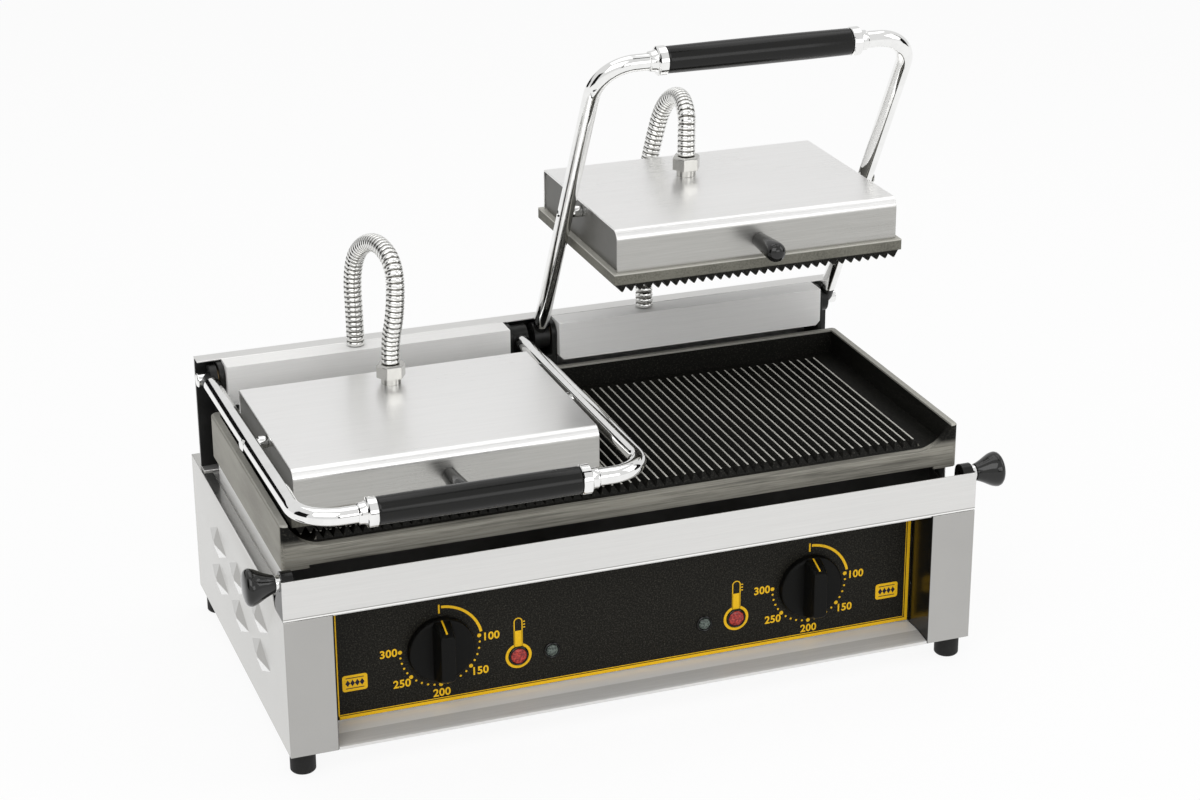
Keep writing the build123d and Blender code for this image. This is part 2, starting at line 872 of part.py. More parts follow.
with BuildPart() as tray_ends:
    for hand in (-1, 1):
        with BuildSketch(across(hand * (inner_face - seam))):
            with Locations((ear_y, ear_z)):
                Circle(ear_radius)
            with Locations((ear_y, (tray_bottom + sheet + ear_z) / 2)):
                Rectangle(2 * ear_radius, ear_z - tray_bottom - sheet)
            with Locations((ear_y, ear_z)):
                Circle(ear_stud_diameter / 2, mode=Mode.SUBTRACT)
        extrude(amount=-hand * ear_length)
save(tray_ends, "tray_ends")

with BuildPart() as tray_ferrules:
    for hand in (-1, 1):
        with BuildSketch(across(hand * (inner_face - seam))):
            with Locations((ear_y, ear_z)):
                Circle(ferrule_diameter / 2)
                Circle(ear_stud_diameter / 2, mode=Mode.SUBTRACT)
        extrude(amount=hand * ferrule_length)
save(tray_ferrules, "tray_ferrules")


def turned(origin, direction, points, nose):
    """A level turned piece from (along, radius) points, closed by part of a ball."""
    axis = Vector(*direction)
    shoulder, radius = points[-1]
    centre = (nose**2 - shoulder**2 - radius**2) / (2 * (nose - shoulder))
    sweep_angle = math.degrees(math.atan2(radius, shoulder - centre))
    with BuildPart() as piece:
        with BuildSketch(Plane(origin=origin, x_dir=axis, z_dir=axis.cross(Vector(0, 0, 1)))):
            with BuildLine():
                Polyline((0, 0), *points)
                CenterArc((centre, 0), nose - centre, 0, sweep_angle)
                Line((nose, 0), (0, 0))
            make_face()
        revolve(axis=Axis(origin, direction))
    return piece.part


# Tapered tray knobs, each on a stud through its ferrule and ear
with BuildPart() as tray_knobs:
    for hand in (-1, 1):
        knob_x = hand * (inner_face - seam + ferrule_length)
        add(
            turned(
                (knob_x, ear_y, ear_z),
                (hand, 0, 0),
                ((0, tray_knob_neck / 2), (tray_knob_shoulder, tray_knob_diameter / 2)),
                tray_knob_length,
            )
        )
        with BuildSketch(across(knob_x)):
            with Locations((ear_y, ear_z)):
                Circle(ear_stud_diameter / 2)
        extrude(amount=-hand * (ferrule_length + ear_length))
save(tray_knobs, "tray_knobs")


# Tubular handles
def handle_bar(middle, angle):
    """A U of tube whose ends butt against the hubs, drilled for the two pivot pins."""
    arm_half = arm_spacing / 2
    along = arm_plane(middle, angle)
    with BuildPart() as bar:
        with BuildLine(along):
            run = FilletPolyline(
                (-arm_half, hub_plug_reach),
                (-arm_half, arm_length),
                (arm_half, arm_length),
                (arm_half, hub_plug_reach),
                radius=elbow_radius,
            )
        with BuildSketch(Plane(origin=run @ 0, z_dir=run % 0)):
            Circle(tube_diameter / 2)
            Circle(tube_diameter / 2 - tube_wall, mode=Mode.SUBTRACT)
        sweep(path=run)
        with BuildSketch(across(middle - arm_half - tube_diameter)):
            with Locations(arm_point(pivot_reach, angle)):
                Circle(pivot_diameter / 2)
        extrude(amount=arm_spacing + 2 * tube_diameter, mode=Mode.SUBTRACT)
    return bar


def handle_grip(middle, angle):
    """A plain round sleeve on the cross tube."""
    y, z = arm_point(arm_length, angle)
    with BuildPart() as grip:
        with BuildSketch(across(middle - grip_length / 2)):
            with Locations((y, z)):
                Circle(grip_diameter / 2)
                Circle(tube_diameter / 2, mode=Mode.SUBTRACT)
        extrude(amount=grip_length)
    return grip


def handle_collars(middle, angle):
    """Two turned collars that hold the grip: a band, then a neck down to the tube."""
    y, z = arm_point(arm_length, angle)
    with BuildPart() as collars:
        for side in (-1, 1):
            face = Plane(origin=(middle + side * grip_length / 2, y, z), x_dir=(side, 0, 0), z_dir=(0, 1, 0))
            with BuildSketch(face):
                with BuildLine():
                    Polyline(
                        (0, tube_diameter / 2),
                        (0, collar_diameter / 2),
                        (collar_band, collar_diameter / 2),
                        (collar_length, collar_neck / 2),
                        (collar_length, tube_diameter / 2),
                        close=True,
                    )
                make_face()
            revolve(axis=Axis(face.origin, face.x_dir))
    return collars


def hinge_shaft(hand):
    """The steel shaft from the inner hub through both brackets to its bare outer end."""
    start = (lid_pitch - arm_spacing - tube_diameter) / 2
    with BuildPart() as shaft:
        with BuildSketch(across(hand * start)):
            with Locations((hinge_y, hinge_z)):
                Circle(shaft_diameter / 2)
        extrude(amount=hand * (half_width - start))
        rims = shaft.edges().filter_by(GeomType.CIRCLE).sort_by(Axis.X)
        chamfer(rims[-1] if hand > 0 else rims[0], length=shaft_chamfer)
    return shaft


def handle_hubs(hand, angle):
    """The two black eyes on the shaft, each with a plug that the tube butts against."""
    inner_tube = (lid_pitch - arm_spacing) / 2
    outer_tube = (lid_pitch + arm_spacing) / 2
    eye_start = bracket_outer + bracket_plate + 2 * bush_proud
    with BuildPart() as hubs:
        for x, start, length in (
            (inner_tube, inner_tube - tube_diameter / 2, tube_diameter),
            (outer_tube, eye_start, outer_hub_length),
        ):
            with BuildSketch(across(hand * start)):
                with Locations((hinge_y, hinge_z)):
                    Circle(hub_diameter / 2)
            extrude(amount=hand * length)
            with BuildSketch(Plane(origin=(hand * x, hinge_y, hinge_z), z_dir=arm_plane(0, angle).y_dir)):
                Circle(hub_plug_diameter / 2)
            extrude(amount=hub_plug_reach)
        with BuildSketch(across()):
            with Locations((hinge_y, hinge_z)):
                Circle(shaft_diameter / 2)
        extrude(amount=hand * half_width, mode=Mode.SUBTRACT)
        with BuildSketch(across(hand * (eye_start + outer_hub_length))):
            with Locations((hinge_y, hinge_z)):
                Circle(shaft_diameter / 2 + plug_relief)
        extrude(amount=hand * outer_hub_length, mode=Mode.SUBTRACT)
    return hubs


def pivot_pins(hand, angle):
    """Headed pins through the tubes, with a shoulder in the gap and a plain end in the lid."""
    middle = hand * lid_pitch / 2
    with BuildPart() as pins:
        for side in (-1, 1):
            tube_x = middle + side * arm_spacing / 2
            outer_face = tube_x + side * tube_diameter / 2
            inner_face_x = tube_x - side * tube_diameter / 2
            plate_face = middle + side * (lid_half - side_plate_recess)
            head = outer_pivot_head if side == hand else inner_pivot_head
            for start, end, diameter in (
                (outer_face, outer_face + side * head, pivot_head_diameter),
                (outer_face, plate_face - side * (side_plate + pivot_end), pivot_diameter),
                (inner_face_x, plate_face + side * pivot_gap, pivot_shoulder),
            ):
                with BuildSketch(across(start)):
                    with Locations(arm_point(pivot_reach, angle)):
                        Circle(diameter / 2)
                extrude(amount=end - start)
    return pins


# Upper plates and what stands on them
def lid_frame(hand, angle):
    """Middle, depth and top height of a lid hung level on its handle's pivots."""
    y, z = arm_point(pivot_reach, angle)
    return hand * lid_pitch / 2, y + pivot_offset, z + pivot_below_top


def lid_cover(middle, centre, top, gland):
    """A folded cover over the plate, open below and at the ends, bent large at the front."""
    with BuildPart() as cover:
        with BuildSketch(Plane.XY.offset(top)):
            with Locations((middle, centre)):
                Rectangle(lid_width, lid_depth)
        extrude(amount=-lid_cover_height)
        top_edges = cover.edges().filter_by(Axis.X).group_by(Axis.Z)[-1].sort_by(Axis.Y)
        fillet(top_edges[0], radius=lid_bend_radius)
        top_edges = cover.edges().filter_by(Axis.X).group_by(Axis.Z)[-1].sort_by(Axis.Y)
        fillet(top_edges[-1], radius=lid_back_radius)
        ends = cover.faces().filter_by(Plane.YZ)
        offset(amount=-lid_sheet, openings=[*ends, cover.faces().sort_by(Axis.Z)[0]])
        with BuildSketch(Plane.XY.offset(top)):
            with Locations((middle + gland[0], centre + lid_depth / 2 - gland[1])):
                Circle(hose_bore / 2)
        extrude(amount=-lid_sheet, mode=Mode.SUBTRACT)
    return cover


def lid_side_plates(middle, centre, top, angle):
    """The two recessed end plates of a lid, each with its pivot hole."""
    height = lid_cover_height - lid_sheet - seam
    depth = lid_depth - 2 * lid_sheet - 2 * seam
    with BuildPart() as plates:
        for side in (-1, 1):
            with BuildSketch(across(middle + side * (lid_half - side_plate_recess))):
                with Locations((centre, top - lid_sheet - seam - height / 2)):
                    end = Rectangle(depth, height)
                fillet(end.vertices().group_by(Axis.Z)[-1], radius=lid_bend_radius)
                with Locations(arm_point(pivot_reach, angle)):
                    Circle(pivot_diameter / 2 + running_fit, mode=Mode.SUBTRACT)
            extrude(amount=-side * side_plate)
    return plates


def upper_plate(middle, centre, top):
    """A cast plate with a flange all round and V ribs that stop just above the lower ribs."""
    seat = top - lid_cover_height
    closed_top = arm_point(pivot_reach, closed_angle)[1] + pivot_below_top
    tooth = closed_top - lid_cover_height - lid_flange_height - rib_top - contact_gap
    underside = seat - lid_flange_height
    depth = lid_depth + 2 * lid_flange
    with BuildPart() as plate:
        with BuildSketch(Plane.XY.offset(seat)):
            with Locations((middle, centre)):
                Rectangle(lid_width + 2 * lid_flange, depth)
        extrude(amount=-lid_flange_height)
        rear = (middle, centre + depth / 2, underside)
        with BuildSketch(Plane(origin=rear, x_dir=(-1, 0, 0), z_dir=(0, -1, 0))):
            add(comb_section(round(lid_rib_field / rib_pitch), tooth))
        extrude(amount=depth)
    return plate


def lid_insulation(middle, centre, top):
    """A slab of insulation that lies on the heating rod."""
    with BuildPart() as slab:
        with BuildSketch(Plane.XY.offset(top - lid_cover_height + element_diameter + 2 * seam)):
            with Locations((middle, centre)):
                Rectangle(lid_width - 2 * insulation_margin, lid_depth - 2 * insulation_margin)
        extrude(amount=insulation_height)
    return slab


def lid_knob(middle, centre, top):
    """A black knob that stands forward from the middle of the lid's front face."""
    with BuildPart() as knob:
        add(
            turned(
                (middle, centre - lid_depth / 2, top - lid_knob_drop),
                (0, -1, 0),
                (
                    (0, lid_knob_neck / 2),
                    (lid_knob_length - lid_knob_diameter / 2, lid_knob_diameter / 2),
                ),
                lid_knob_length,
            )
        )
    return knob


def gland_nut(x, y, z):
    """A hollow cable gland: a round neck below, a hexagon above."""
    with BuildPart() as gland:
        with BuildSketch(Plane.XY.offset(z)):
            with Locations((x, y)):
                Circle(gland_neck / 2)
        extrude(amount=gland_neck_height)
        with BuildSketch(Plane.XY.offset(z + gland_neck_height)):
            with Locations((x, y)):
                RegularPolygon(radius=gland_size / 2, side_count=6, major_radius=False)
        extrude(amount=gland_height - gland_neck_height)
        chamfer(gland.edges().group_by(Axis.Z)[-1], length=rim_chamfer)
        with BuildSketch(Plane.XY.offset(z)):
            with Locations((x, y)):
                Circle(hose_bore / 2)
        extrude(amount=gland_height, mode=Mode.SUBTRACT)
    return gland


def conduit(entry, gland, lid, route):
    """A ribbed flexible conduit from the housing to the lid, straight for one diameter at its ends."""
    middle, centre, top = lid
    foot = Vector(entry[0], front + entry[1], housing_top + ferrule_height + seam)
    head = Vector(middle + gland[0], centre + lid_depth / 2 - gland[1], top + gland_height + seam)
    rise = Vector(0, 0, hose_diameter)
    steady = Vector(1, 0, 0)
    points = [foot + Vector(*offset) for offset in route]
    with BuildPart() as hose:
        with BuildLine():
            lower = Line(foot, foot + rise)
            bend = Spline(foot + rise, *points, head + rise, tangents=(rise, -rise))
            upper = Line(head + rise, head)
        runs = (lower, bend, upper)
        length = sum(run.length for run in runs)

        def ring(distance, radius):
            for run in runs:
                if distance <= run.length or run is upper:
                    break
                distance -= run.length
            spot = run.position_at(distance, position_mode=PositionMode.LENGTH)
            heading = run.tangent_at(distance, position_mode=PositionMode.LENGTH)
            across_ring = steady - heading * steady.dot(heading)
            with BuildSketch(Plane(origin=spot, x_dir=across_ring, z_dir=heading)) as face:
                Circle(radius)
            return face.sketch

        pitch = length / hose_ribs
        outline = []
        for rib in range(hose_ribs):
            for share, radius in zip(hose_shares, (hose_valley, hose_diameter, hose_diameter, hose_valley)):
                outline.append(ring((rib + share) * pitch, radius / 2))
        loft(sections=[*outline, ring(length, hose_valley / 2)], ruled=True)
        core = [ring(rib * pitch, hose_bore / 2) for rib in range(0, hose_ribs + 1, 2)]
        loft(sections=core, ruled=True, mode=Mode.SUBTRACT)
    return hose


for side_name, hand, angle, gland, entry, route in (
    ("left", -1, closed_angle, left_gland, left_entry, left_route),
    ("right", 1, raised_angle, right_gland, right_entry, right_route),
):
    lid = lid_frame(hand, angle)
    seat = lid[2] - lid_cover_height
    save(handle_bar(lid[0], angle), f"{side_name}_handle_bar")
    save(handle_grip(lid[0], angle), f"{side_name}_grip")
    save(handle_collars(lid[0], angle), f"{side_name}_collars")
    save(hinge_shaft(hand), f"{side_name}_hinge_shaft")
    save(handle_hubs(hand, angle), f"{side_name}_hubs")
    save(pivot_pins(hand, angle), f"{side_name}_pivot_pins")
    save(lid_cover(*lid, gland), f"{side_name}_lid_cover")
    save(lid_side_plates(*lid, angle), f"{side_name}_lid_side_plates")
    save(upper_plate(*lid), f"{side_name}_upper_plate")
    with BuildPart() as upper_element:
        rod_span = (lid[1] + lid_depth / 2 - element_margin, lid[1] - lid_depth / 2 + element_margin)
        add(add_rod(lid[0], *rod_span, seat + element_diameter / 2 + seam, lid_element_reach, element_inner))
    save(upper_element, f"{side_name}_upper_element")
    save(lid_insulation(*lid), f"{side_name}_insulation")
    save(lid_knob(*lid), f"{side_name}_lid_knob")
    gland_y = lid[1] + lid_depth / 2 - gland[1]
    save(gland_nut(lid[0] + gland[0], gland_y, lid[2]), f"{side_name}_gland")
    save(conduit(entry, gland, lid, route), f"{side_name}_conduit")
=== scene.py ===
"""Looks of a contact grill with two lids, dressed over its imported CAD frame."""

import json
import math

import bmesh
import bpy
from mathutils import Matrix, Vector

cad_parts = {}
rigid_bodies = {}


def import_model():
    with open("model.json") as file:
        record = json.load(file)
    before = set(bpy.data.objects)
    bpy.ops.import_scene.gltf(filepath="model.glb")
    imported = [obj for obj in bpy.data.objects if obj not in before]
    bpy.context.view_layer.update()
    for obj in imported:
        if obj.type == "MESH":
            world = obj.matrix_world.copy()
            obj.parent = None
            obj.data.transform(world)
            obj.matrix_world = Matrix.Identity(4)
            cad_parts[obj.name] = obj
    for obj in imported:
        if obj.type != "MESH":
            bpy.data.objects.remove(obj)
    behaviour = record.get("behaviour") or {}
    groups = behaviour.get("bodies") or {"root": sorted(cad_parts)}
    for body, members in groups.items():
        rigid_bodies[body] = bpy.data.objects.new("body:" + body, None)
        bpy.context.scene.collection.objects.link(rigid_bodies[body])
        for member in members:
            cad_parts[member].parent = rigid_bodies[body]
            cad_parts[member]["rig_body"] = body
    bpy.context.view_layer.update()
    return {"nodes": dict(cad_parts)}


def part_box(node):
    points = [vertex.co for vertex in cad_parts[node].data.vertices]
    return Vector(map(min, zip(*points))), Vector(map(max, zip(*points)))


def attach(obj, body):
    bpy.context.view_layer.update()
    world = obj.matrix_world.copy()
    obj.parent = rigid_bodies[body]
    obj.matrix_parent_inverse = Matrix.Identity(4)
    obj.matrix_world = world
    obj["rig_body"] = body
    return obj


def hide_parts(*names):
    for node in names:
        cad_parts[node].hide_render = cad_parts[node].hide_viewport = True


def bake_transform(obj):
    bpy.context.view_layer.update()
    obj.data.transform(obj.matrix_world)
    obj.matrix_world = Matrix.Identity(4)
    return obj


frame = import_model()
MM = 0.001
SHARP = 32  # degrees: edges that turn more than this stay sharp in the shading
WELD = 0.002 * MM  # how near two corners of a CAD mesh are one
FLAT = 0.8  # degrees: faces that turn less than this become one


def mm(*values):
    return Vector(values) * MM


def stand(name, data):
    """A new object in the scene, at the origin."""
    made = bpy.data.objects.new(name, data)
    bpy.context.scene.collection.objects.link(made)
    return made


def plain_mesh(piece):
    """The mesh that an object's modifiers, curve or text make."""
    bpy.context.view_layer.update()
    return bpy.data.meshes.new_from_object(piece.evaluated_get(bpy.context.evaluated_depsgraph_get()))


# ---------------------------------------------------------------- camera

camera = stand("camera", bpy.data.cameras.new("camera"))
bpy.context.scene.camera = camera
camera.data.sensor_width = 36.0
camera.data.lens = 79.86
camera.data.clip_start = 0.05
camera.data.clip_end = 60.0
camera.matrix_world = (
    Matrix.Translation(mm(-701.5, -1971.6, 1077.2))
    @ Matrix.Rotation(-0.3496, 4, "Z")
    @ Matrix.Rotation(math.pi / 2 - 0.3861, 4, "X")
    @ Matrix.Rotation(-0.0053, 4, "Z")
)

# ---------------------------------------------------------------- finishes


class Wire:
    """One socket of a finish or a geometry tree. Arithmetic on wires adds Math nodes."""

    def __init__(self, owner, socket):
        self.owner = owner
        self.socket = socket

    def _math(self, operation, first, second=0.0):
        return self.owner.node("ShaderNodeMath", {"operation": operation}, {0: first, 1: second})

    def __add__(self, other):
        return self._math("ADD", self, other)

    def __radd__(self, other):
        return self._math("ADD", other, self)

    def __sub__(self, other):
        return self._math("SUBTRACT", self, other)

    def __rsub__(self, other):
        return self._math("SUBTRACT", other, self)

    def __mul__(self, other):
        return self._math("MULTIPLY", self, other)

    def __rmul__(self, other):
        return self._math("MULTIPLY", other, self)

    def __truediv__(self, other):
        return self._math("DIVIDE", self, other)

    def __pow__(self, other):
        return self._math("POWER", self, other)

    def __abs__(self):
        return self._math("ABSOLUTE", self)

    def sine(self):
        return self._math("SINE", self)

    def ramp(self, low, high, start=0.0, end=1.0):
        """A smooth step from start to end while this value goes from low to high."""
        return self.owner.node(
            "ShaderNodeMapRange",
            {"interpolation_type": "SMOOTHSTEP", "clamp": True},
            {"Value": self, "From Min": low, "From Max": high, "To Min": start, "To Max": end},
        )


class Nodes:
    """The nodes of one material, of the world or of a geometry tree."""

    def __init__(self, tree):
        self.tree = tree

    def node(self, kind, settings=None, inputs=None, output=0):
        """Any node: its settings are set first, then the values or links of its sockets."""
        made = self.tree.nodes.new(kind)
        for key, value in (settings or {}).items():
            setattr(made, key, value)
        for key, value in (inputs or {}).items():
            if isinstance(value, Wire):
                self.tree.links.new(value.socket, made.inputs[key])
            else:
                made.inputs[key].default_value = value
        return Wire(self, made.outputs[output] if made.outputs else None)


class Finish(Nodes):
    """A procedural material: one shader, and the nodes that vary it over the surface."""

    def __init__(self, name, **constants):
        self.material = bpy.data.materials.new(name)
        self.material.use_nodes = True
        super().__init__(self.material.node_tree)
        self.shader = self.tree.nodes["Principled BSDF"]
        for socket, value in constants.items():
            self.shader.inputs[socket.replace("_", " ")].default_value = value
        self.place = self.node("ShaderNodeTexCoord", output="Object")
        self.x, self.y, self.z = (
            self.node("ShaderNodeSeparateXYZ", None, {0: self.place}, output=axis) for axis in "XYZ"
        )

    def noise(self, scale, stretch=(1, 1, 1), detail=2.0, roughness=0.5, shift=0.0):
        """Noise between 0 and 1 in the piece's own space, stretched along the axes."""
        spot = self.node(
            "ShaderNodeMapping",
            None,
            {"Vector": self.place, "Scale": stretch, "Location": (shift, shift, shift)},
        )
        return self.node(
            "ShaderNodeTexNoise",
            None,
            {"Vector": spot, "Scale": scale, "Detail": detail, "Roughness": roughness},
        )

    def mix(self, factor, first, second):
        """A colour between two colours."""
        return self.node(
            "ShaderNodeMix", {"data_type": "RGBA"}, {0: factor, 6: first, 7: second}, output=2
        )

    def feed(self, socket, wire):
        self.tree.links.new(wire.socket, self.shader.inputs[socket])

    def bump(self, height, distance, strength=1.0):
        """Surface relief: height 0 to 1 stands for distance in metres."""
        self.feed(
            "Normal",
            self.node(
                "ShaderNodeBump", None, {"Height": height, "Distance": distance, "Strength": strength}
            ),
        )


def rgb(red, green, blue):
    return (red, green, blue, 1.0)


def satin_steel(name, along, tone=(0.80, 0.795, 0.78), roughness=0.33, metal=0.82):
    """Sheet steel with fine brushing along one axis and faint handling marks."""
    made = Finish(name, Metallic=metal)
    stretch = tuple(0.01 if axis == along else 1.0 for axis in "XYZ")
    streaks = made.noise(3200, stretch, detail=3.0, roughness=0.75)
    bands = made.noise(500, stretch, detail=2.0, shift=3.1)
    clouds = made.noise(7, detail=4.0, roughness=0.65, shift=7.7)
    shade = rgb(*(0.90 * c for c in tone))
    made.brushing = (streaks * 0.75 + bands * 0.25).ramp(0.3, 0.7)
    made.clouds = clouds
    made.colour = made.mix(made.brushing * 0.7 + clouds * 0.3, shade, rgb(*tone))
    made.feed("Base Color", made.colour)
    made.feed("Roughness", streaks * 0.10 + clouds * 0.14 + (roughness - 0.12))
    made.bump(streaks, 0.00002, 0.3)
    return made


def polished_chrome(name, tone=(0.90, 0.90, 0.89), roughness=0.05):
    """Mirror chrome with faint wiping marks."""
    made = Finish(name, Metallic=1.0)
    wipes = made.noise(55, detail=4.0, roughness=0.7)
    specks = made.noise(900, detail=1.0, shift=2.0)
    shade = rgb(*(0.93 * c for c in tone))
    made.feed("Base Color", made.mix(wipes.ramp(0.35, 0.7), rgb(*tone), shade))
    made.feed("Roughness", wipes * 0.04 + specks.ramp(0.62, 0.8) * 0.06 + (roughness - 0.02))
    return made


def grained(name, tones, grain, turns, roughness, relief=0.0, **constants):
    """Two tones in one grain: the grain's noise, where in it one tone turns to the other,
    the roughness without grain and what the grain adds, and the relief in metres."""
    made = Finish(name, **constants)
    grain = made.noise(**grain)
    made.feed("Base Color", made.mix(grain.ramp(*turns), *tones))
    made.feed("Roughness", roughness[0] + grain * roughness[1])
    if relief:
        made.bump(grain, relief, 0.5)
    return made


def black_moulding(name, tone=(0.006, 0.006, 0.0055), roughness=0.13, shine=0.28):
    """Polished black phenolic with a light orange peel and fine dust."""
    made = Finish(name, Specular_IOR_Level=shine)
    peel = made.noise(420, detail=2.0)
    dust = made.noise(2400, detail=2.0, roughness=0.7, shift=4.0)
    made.feed("Base Color", made.mix(dust.ramp(0.66, 0.85), rgb(*tone), rgb(0.03, 0.028, 0.025)))
    made.feed("Roughness", peel * 0.10 + dust.ramp(0.6, 0.8) * 0.12 + roughness)
    made.bump(peel, 0.00004, 0.2)
    return made


def baked_paint(name, tone, roughness=0.42, grain=900, shine=0.25):
    """Baked paint with a fine grain and slightly rubbed patches."""
    made = Finish(name, Specular_IOR_Level=shine)
    fine = made.noise(grain, detail=3.0, roughness=0.6)
    rubbed = made.noise(35, detail=4.0, roughness=0.65, shift=5.0)
    lighter = rgb(*(min(1.0, 1.6 * c + 0.006) for c in tone))
    made.feed("Base Color", made.mix(rubbed.ramp(0.5, 0.75) * 0.6 + fine * 0.25, rgb(*tone), lighter))
    made.feed("Roughness", fine * 0.12 + rubbed * 0.10 + (roughness - 0.1))
    made.bump(fine, 0.00004, 0.4)
    return made


BARE_IRON = rgb(0.46, 0.45, 0.41)
NEAR_BLACK = rgb(0.006, 0.006, 0.005)


class Iron(Finish):
    """Black enamelled cast iron, grainy, with bare metal where it is rubbed."""

    def __init__(self, name):
        super().__init__(name, Specular_IOR_Level=0.1)
        self.grain = self.noise(700, detail=4.0, roughness=0.7)
        self.pits = self.noise(2200, detail=2.0, roughness=0.6, shift=1.0)
        self.patches = self.noise(24, detail=4.0, roughness=0.65, shift=6.0)
        self.colour = self.mix(self.grain.ramp(0.50, 0.70), NEAR_BLACK, rgb(0.034, 0.032, 0.027))
        self.bare = None

    def rub(self, where, metal=BARE_IRON):
        """Lays bare metal over the black where a mask says so."""
        self.colour = self.mix(where, self.colour, metal)
        self.bare = where if self.bare is None else self.bare + where

    def done(self):
        self.feed("Base Color", self.colour)
        self.feed("Metallic", self.bare.ramp(0.0, 1.0, 0.0, 0.55))
        self.feed("Roughness", 0.42 + self.grain * 0.25)
        self.bump(self.grain * 0.6 + self.pits * 0.4, 0.00012, 0.5)
        return self


plate_low, plate_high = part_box("lower_plate")
plate_floor = plate_low.z + 17.5 * MM
rib_tips = plate_floor + 5.5 * MM
RIB_FIELD = 265 * MM


def lower_iron():
    """The lower plate: bright rib tips and rim, scratched front lip, worn outer sides."""
    made = Iron("enamelled_iron_lower")
    scratches = made.noise(520, (0.02, 1.0, 1.0), detail=4.0, roughness=0.75, shift=9.0)
    rubbing = made.noise(60, (0.12, 1.0, 1.0), detail=4.0, roughness=0.7, shift=4.5)
    smears = made.noise(24, (1, 0.35, 1.6), detail=5.0, roughness=0.6, shift=2.5)
    field = abs(made.x).ramp(RIB_FIELD + 0.4 * MM, RIB_FIELD)
    field = field * made.y.ramp(plate_high.y - 8 * MM, plate_high.y - 12 * MM)
    field = field * made.y.ramp(plate_low.y + 9.5 * MM, plate_low.y + 10.5 * MM)
    tips = field * made.z.ramp(rib_tips - 0.35 * MM, rib_tips - 0.1 * MM)
    tips = tips * made.z.ramp(rib_tips + 0.4 * MM, rib_tips + 0.2 * MM)
    made.rub(tips * (made.patches.ramp(0.25, 0.6, 0.7, 1.0)), rgb(0.66, 0.65, 0.60))
    ends = abs(made.x).ramp(RIB_FIELD + 0.4 * MM, RIB_FIELD)
    ends = ends * made.y.ramp(plate_low.y + 12.4 * MM, plate_low.y + 12.2 * MM)
    ends = ends * made.y.ramp(plate_low.y + 9.5 * MM, plate_low.y + 10.5 * MM)
    made.rub(ends * made.z.ramp(plate_floor + 0.2 * MM, plate_floor + 0.8 * MM), rgb(0.26, 0.25, 0.22))
    rim = made.z.ramp(plate_high.z - 1.9 * MM, plate_high.z - 1.2 * MM)
    made.rub(rim * (0.5 + made.grain * 0.5), rgb(0.56, 0.55, 0.50))
    front = made.y.ramp(plate_low.y + 8.2 * MM, plate_low.y + 7.4 * MM)
    front = front * made.z.ramp(plate_floor + 9 * MM, plate_floor + 1 * MM)
    worn = (scratches * 0.45 + rubbing * 0.55).ramp(0.34, 0.54, 0.55, 1.0)
    lip_metal = made.mix(scratches.ramp(0.25, 0.7), rgb(0.26, 0.25, 0.215), rgb(0.42, 0.405, 0.355))
    made.rub(front * worn, lip_metal)
    side = abs(made.x).ramp(plate_high.x - 0.9 * MM, plate_high.x - 0.3 * MM)
    side_metal = made.mix(smears.ramp(0.3, 0.7), rgb(0.27, 0.26, 0.23), rgb(0.36, 0.35, 0.31))
    made.rub(side, side_metal)
    return made.done()


def upper_iron(side):
    """An upper plate: bright tooth tips and a lightly rubbed flange edge."""
    low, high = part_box(f"{side}_upper_plate")
    made = Iron(f"enamelled_iron_{side}_upper")
    flange = made.z.ramp(low.z + 6.0 * MM, low.z + 7.0 * MM)
    grey = (made.grain * 0.6 + made.patches * 0.4).ramp(0.35, 0.6, 0.5, 1.0)
    made.rub(flange * grey, rgb(0.20, 0.195, 0.165))
    made.rub(made.z.ramp(low.z + 1.2 * MM, low.z + 0.2 * MM) * 0.7, rgb(0.42, 0.41, 0.37))
    made.rub(made.z.ramp(high.z - 1.4 * MM, high.z - 0.8 * MM) * 0.8, rgb(0.60, 0.59, 0.54))
    return made.done()


def lid_steel(side):
    """A lid cover: pale on top, and painted darker below the bend in front, as shade on the front face.
    """
    low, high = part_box(f"{side}_lid_cover")
    made = satin_steel(f"satin_steel_{side}_lid", "X", (0.95, 0.945, 0.935), 0.30, 0.86)
    # Painted shade on the front face below the bend.
    front = made.y.ramp(low.y + 2.2 * MM, low.y + 1.2 * MM)
    front = front * made.z.ramp(high.z - 5 * MM, high.z - 9 * MM)
    front_face_shade = made.mix(made.brushing, rgb(0.40, 0.395, 0.375), rgb(0.48, 0.475, 0.455))
    made.feed("Base Color", made.mix(front, made.colour, front_face_shade))
    return made


steel_across = satin_steel("satin_steel_across", "X")
steel_cover = satin_steel("satin_steel_rear_cover", "X", (0.92, 0.915, 0.90), 0.55, 0.12)
chrome = polished_chrome("polished_chrome")
nickel = polished_chrome("plated_gland", (0.55, 0.545, 0.52), 0.12)
phenolic = black_moulding("black_phenolic")
polished_black = black_moulding("black_polished_knobs", roughness=0.05, shine=0.5)

# Conduit steel, with shade painted dark into the grooves between its ridges.
hose_steel = polished_chrome("conduit_steel", (0.80, 0.80, 0.78), 0.16)
ridge = hose_steel.node("ShaderNodeAttribute", {"attribute_name": "ridge"}, output="Fac")
hose_steel.feed(
    "Base Color", hose_steel.mix(ridge.ramp(0.5, 0.9), rgb(0.16, 0.155, 0.14), rgb(0.84, 0.84, 0.82))
)
dial_moulding = black_moulding("black_dial_moulding", (0.0045, 0.0045, 0.004), 0.34, 0.10)
bracket_paint = baked_paint("black_bracket_paint", (0.009, 0.009, 0.0085), 0.34)
lid_end_paint = baked_paint("dark_grey_lid_ends", (0.085, 0.083, 0.074), 0.36)
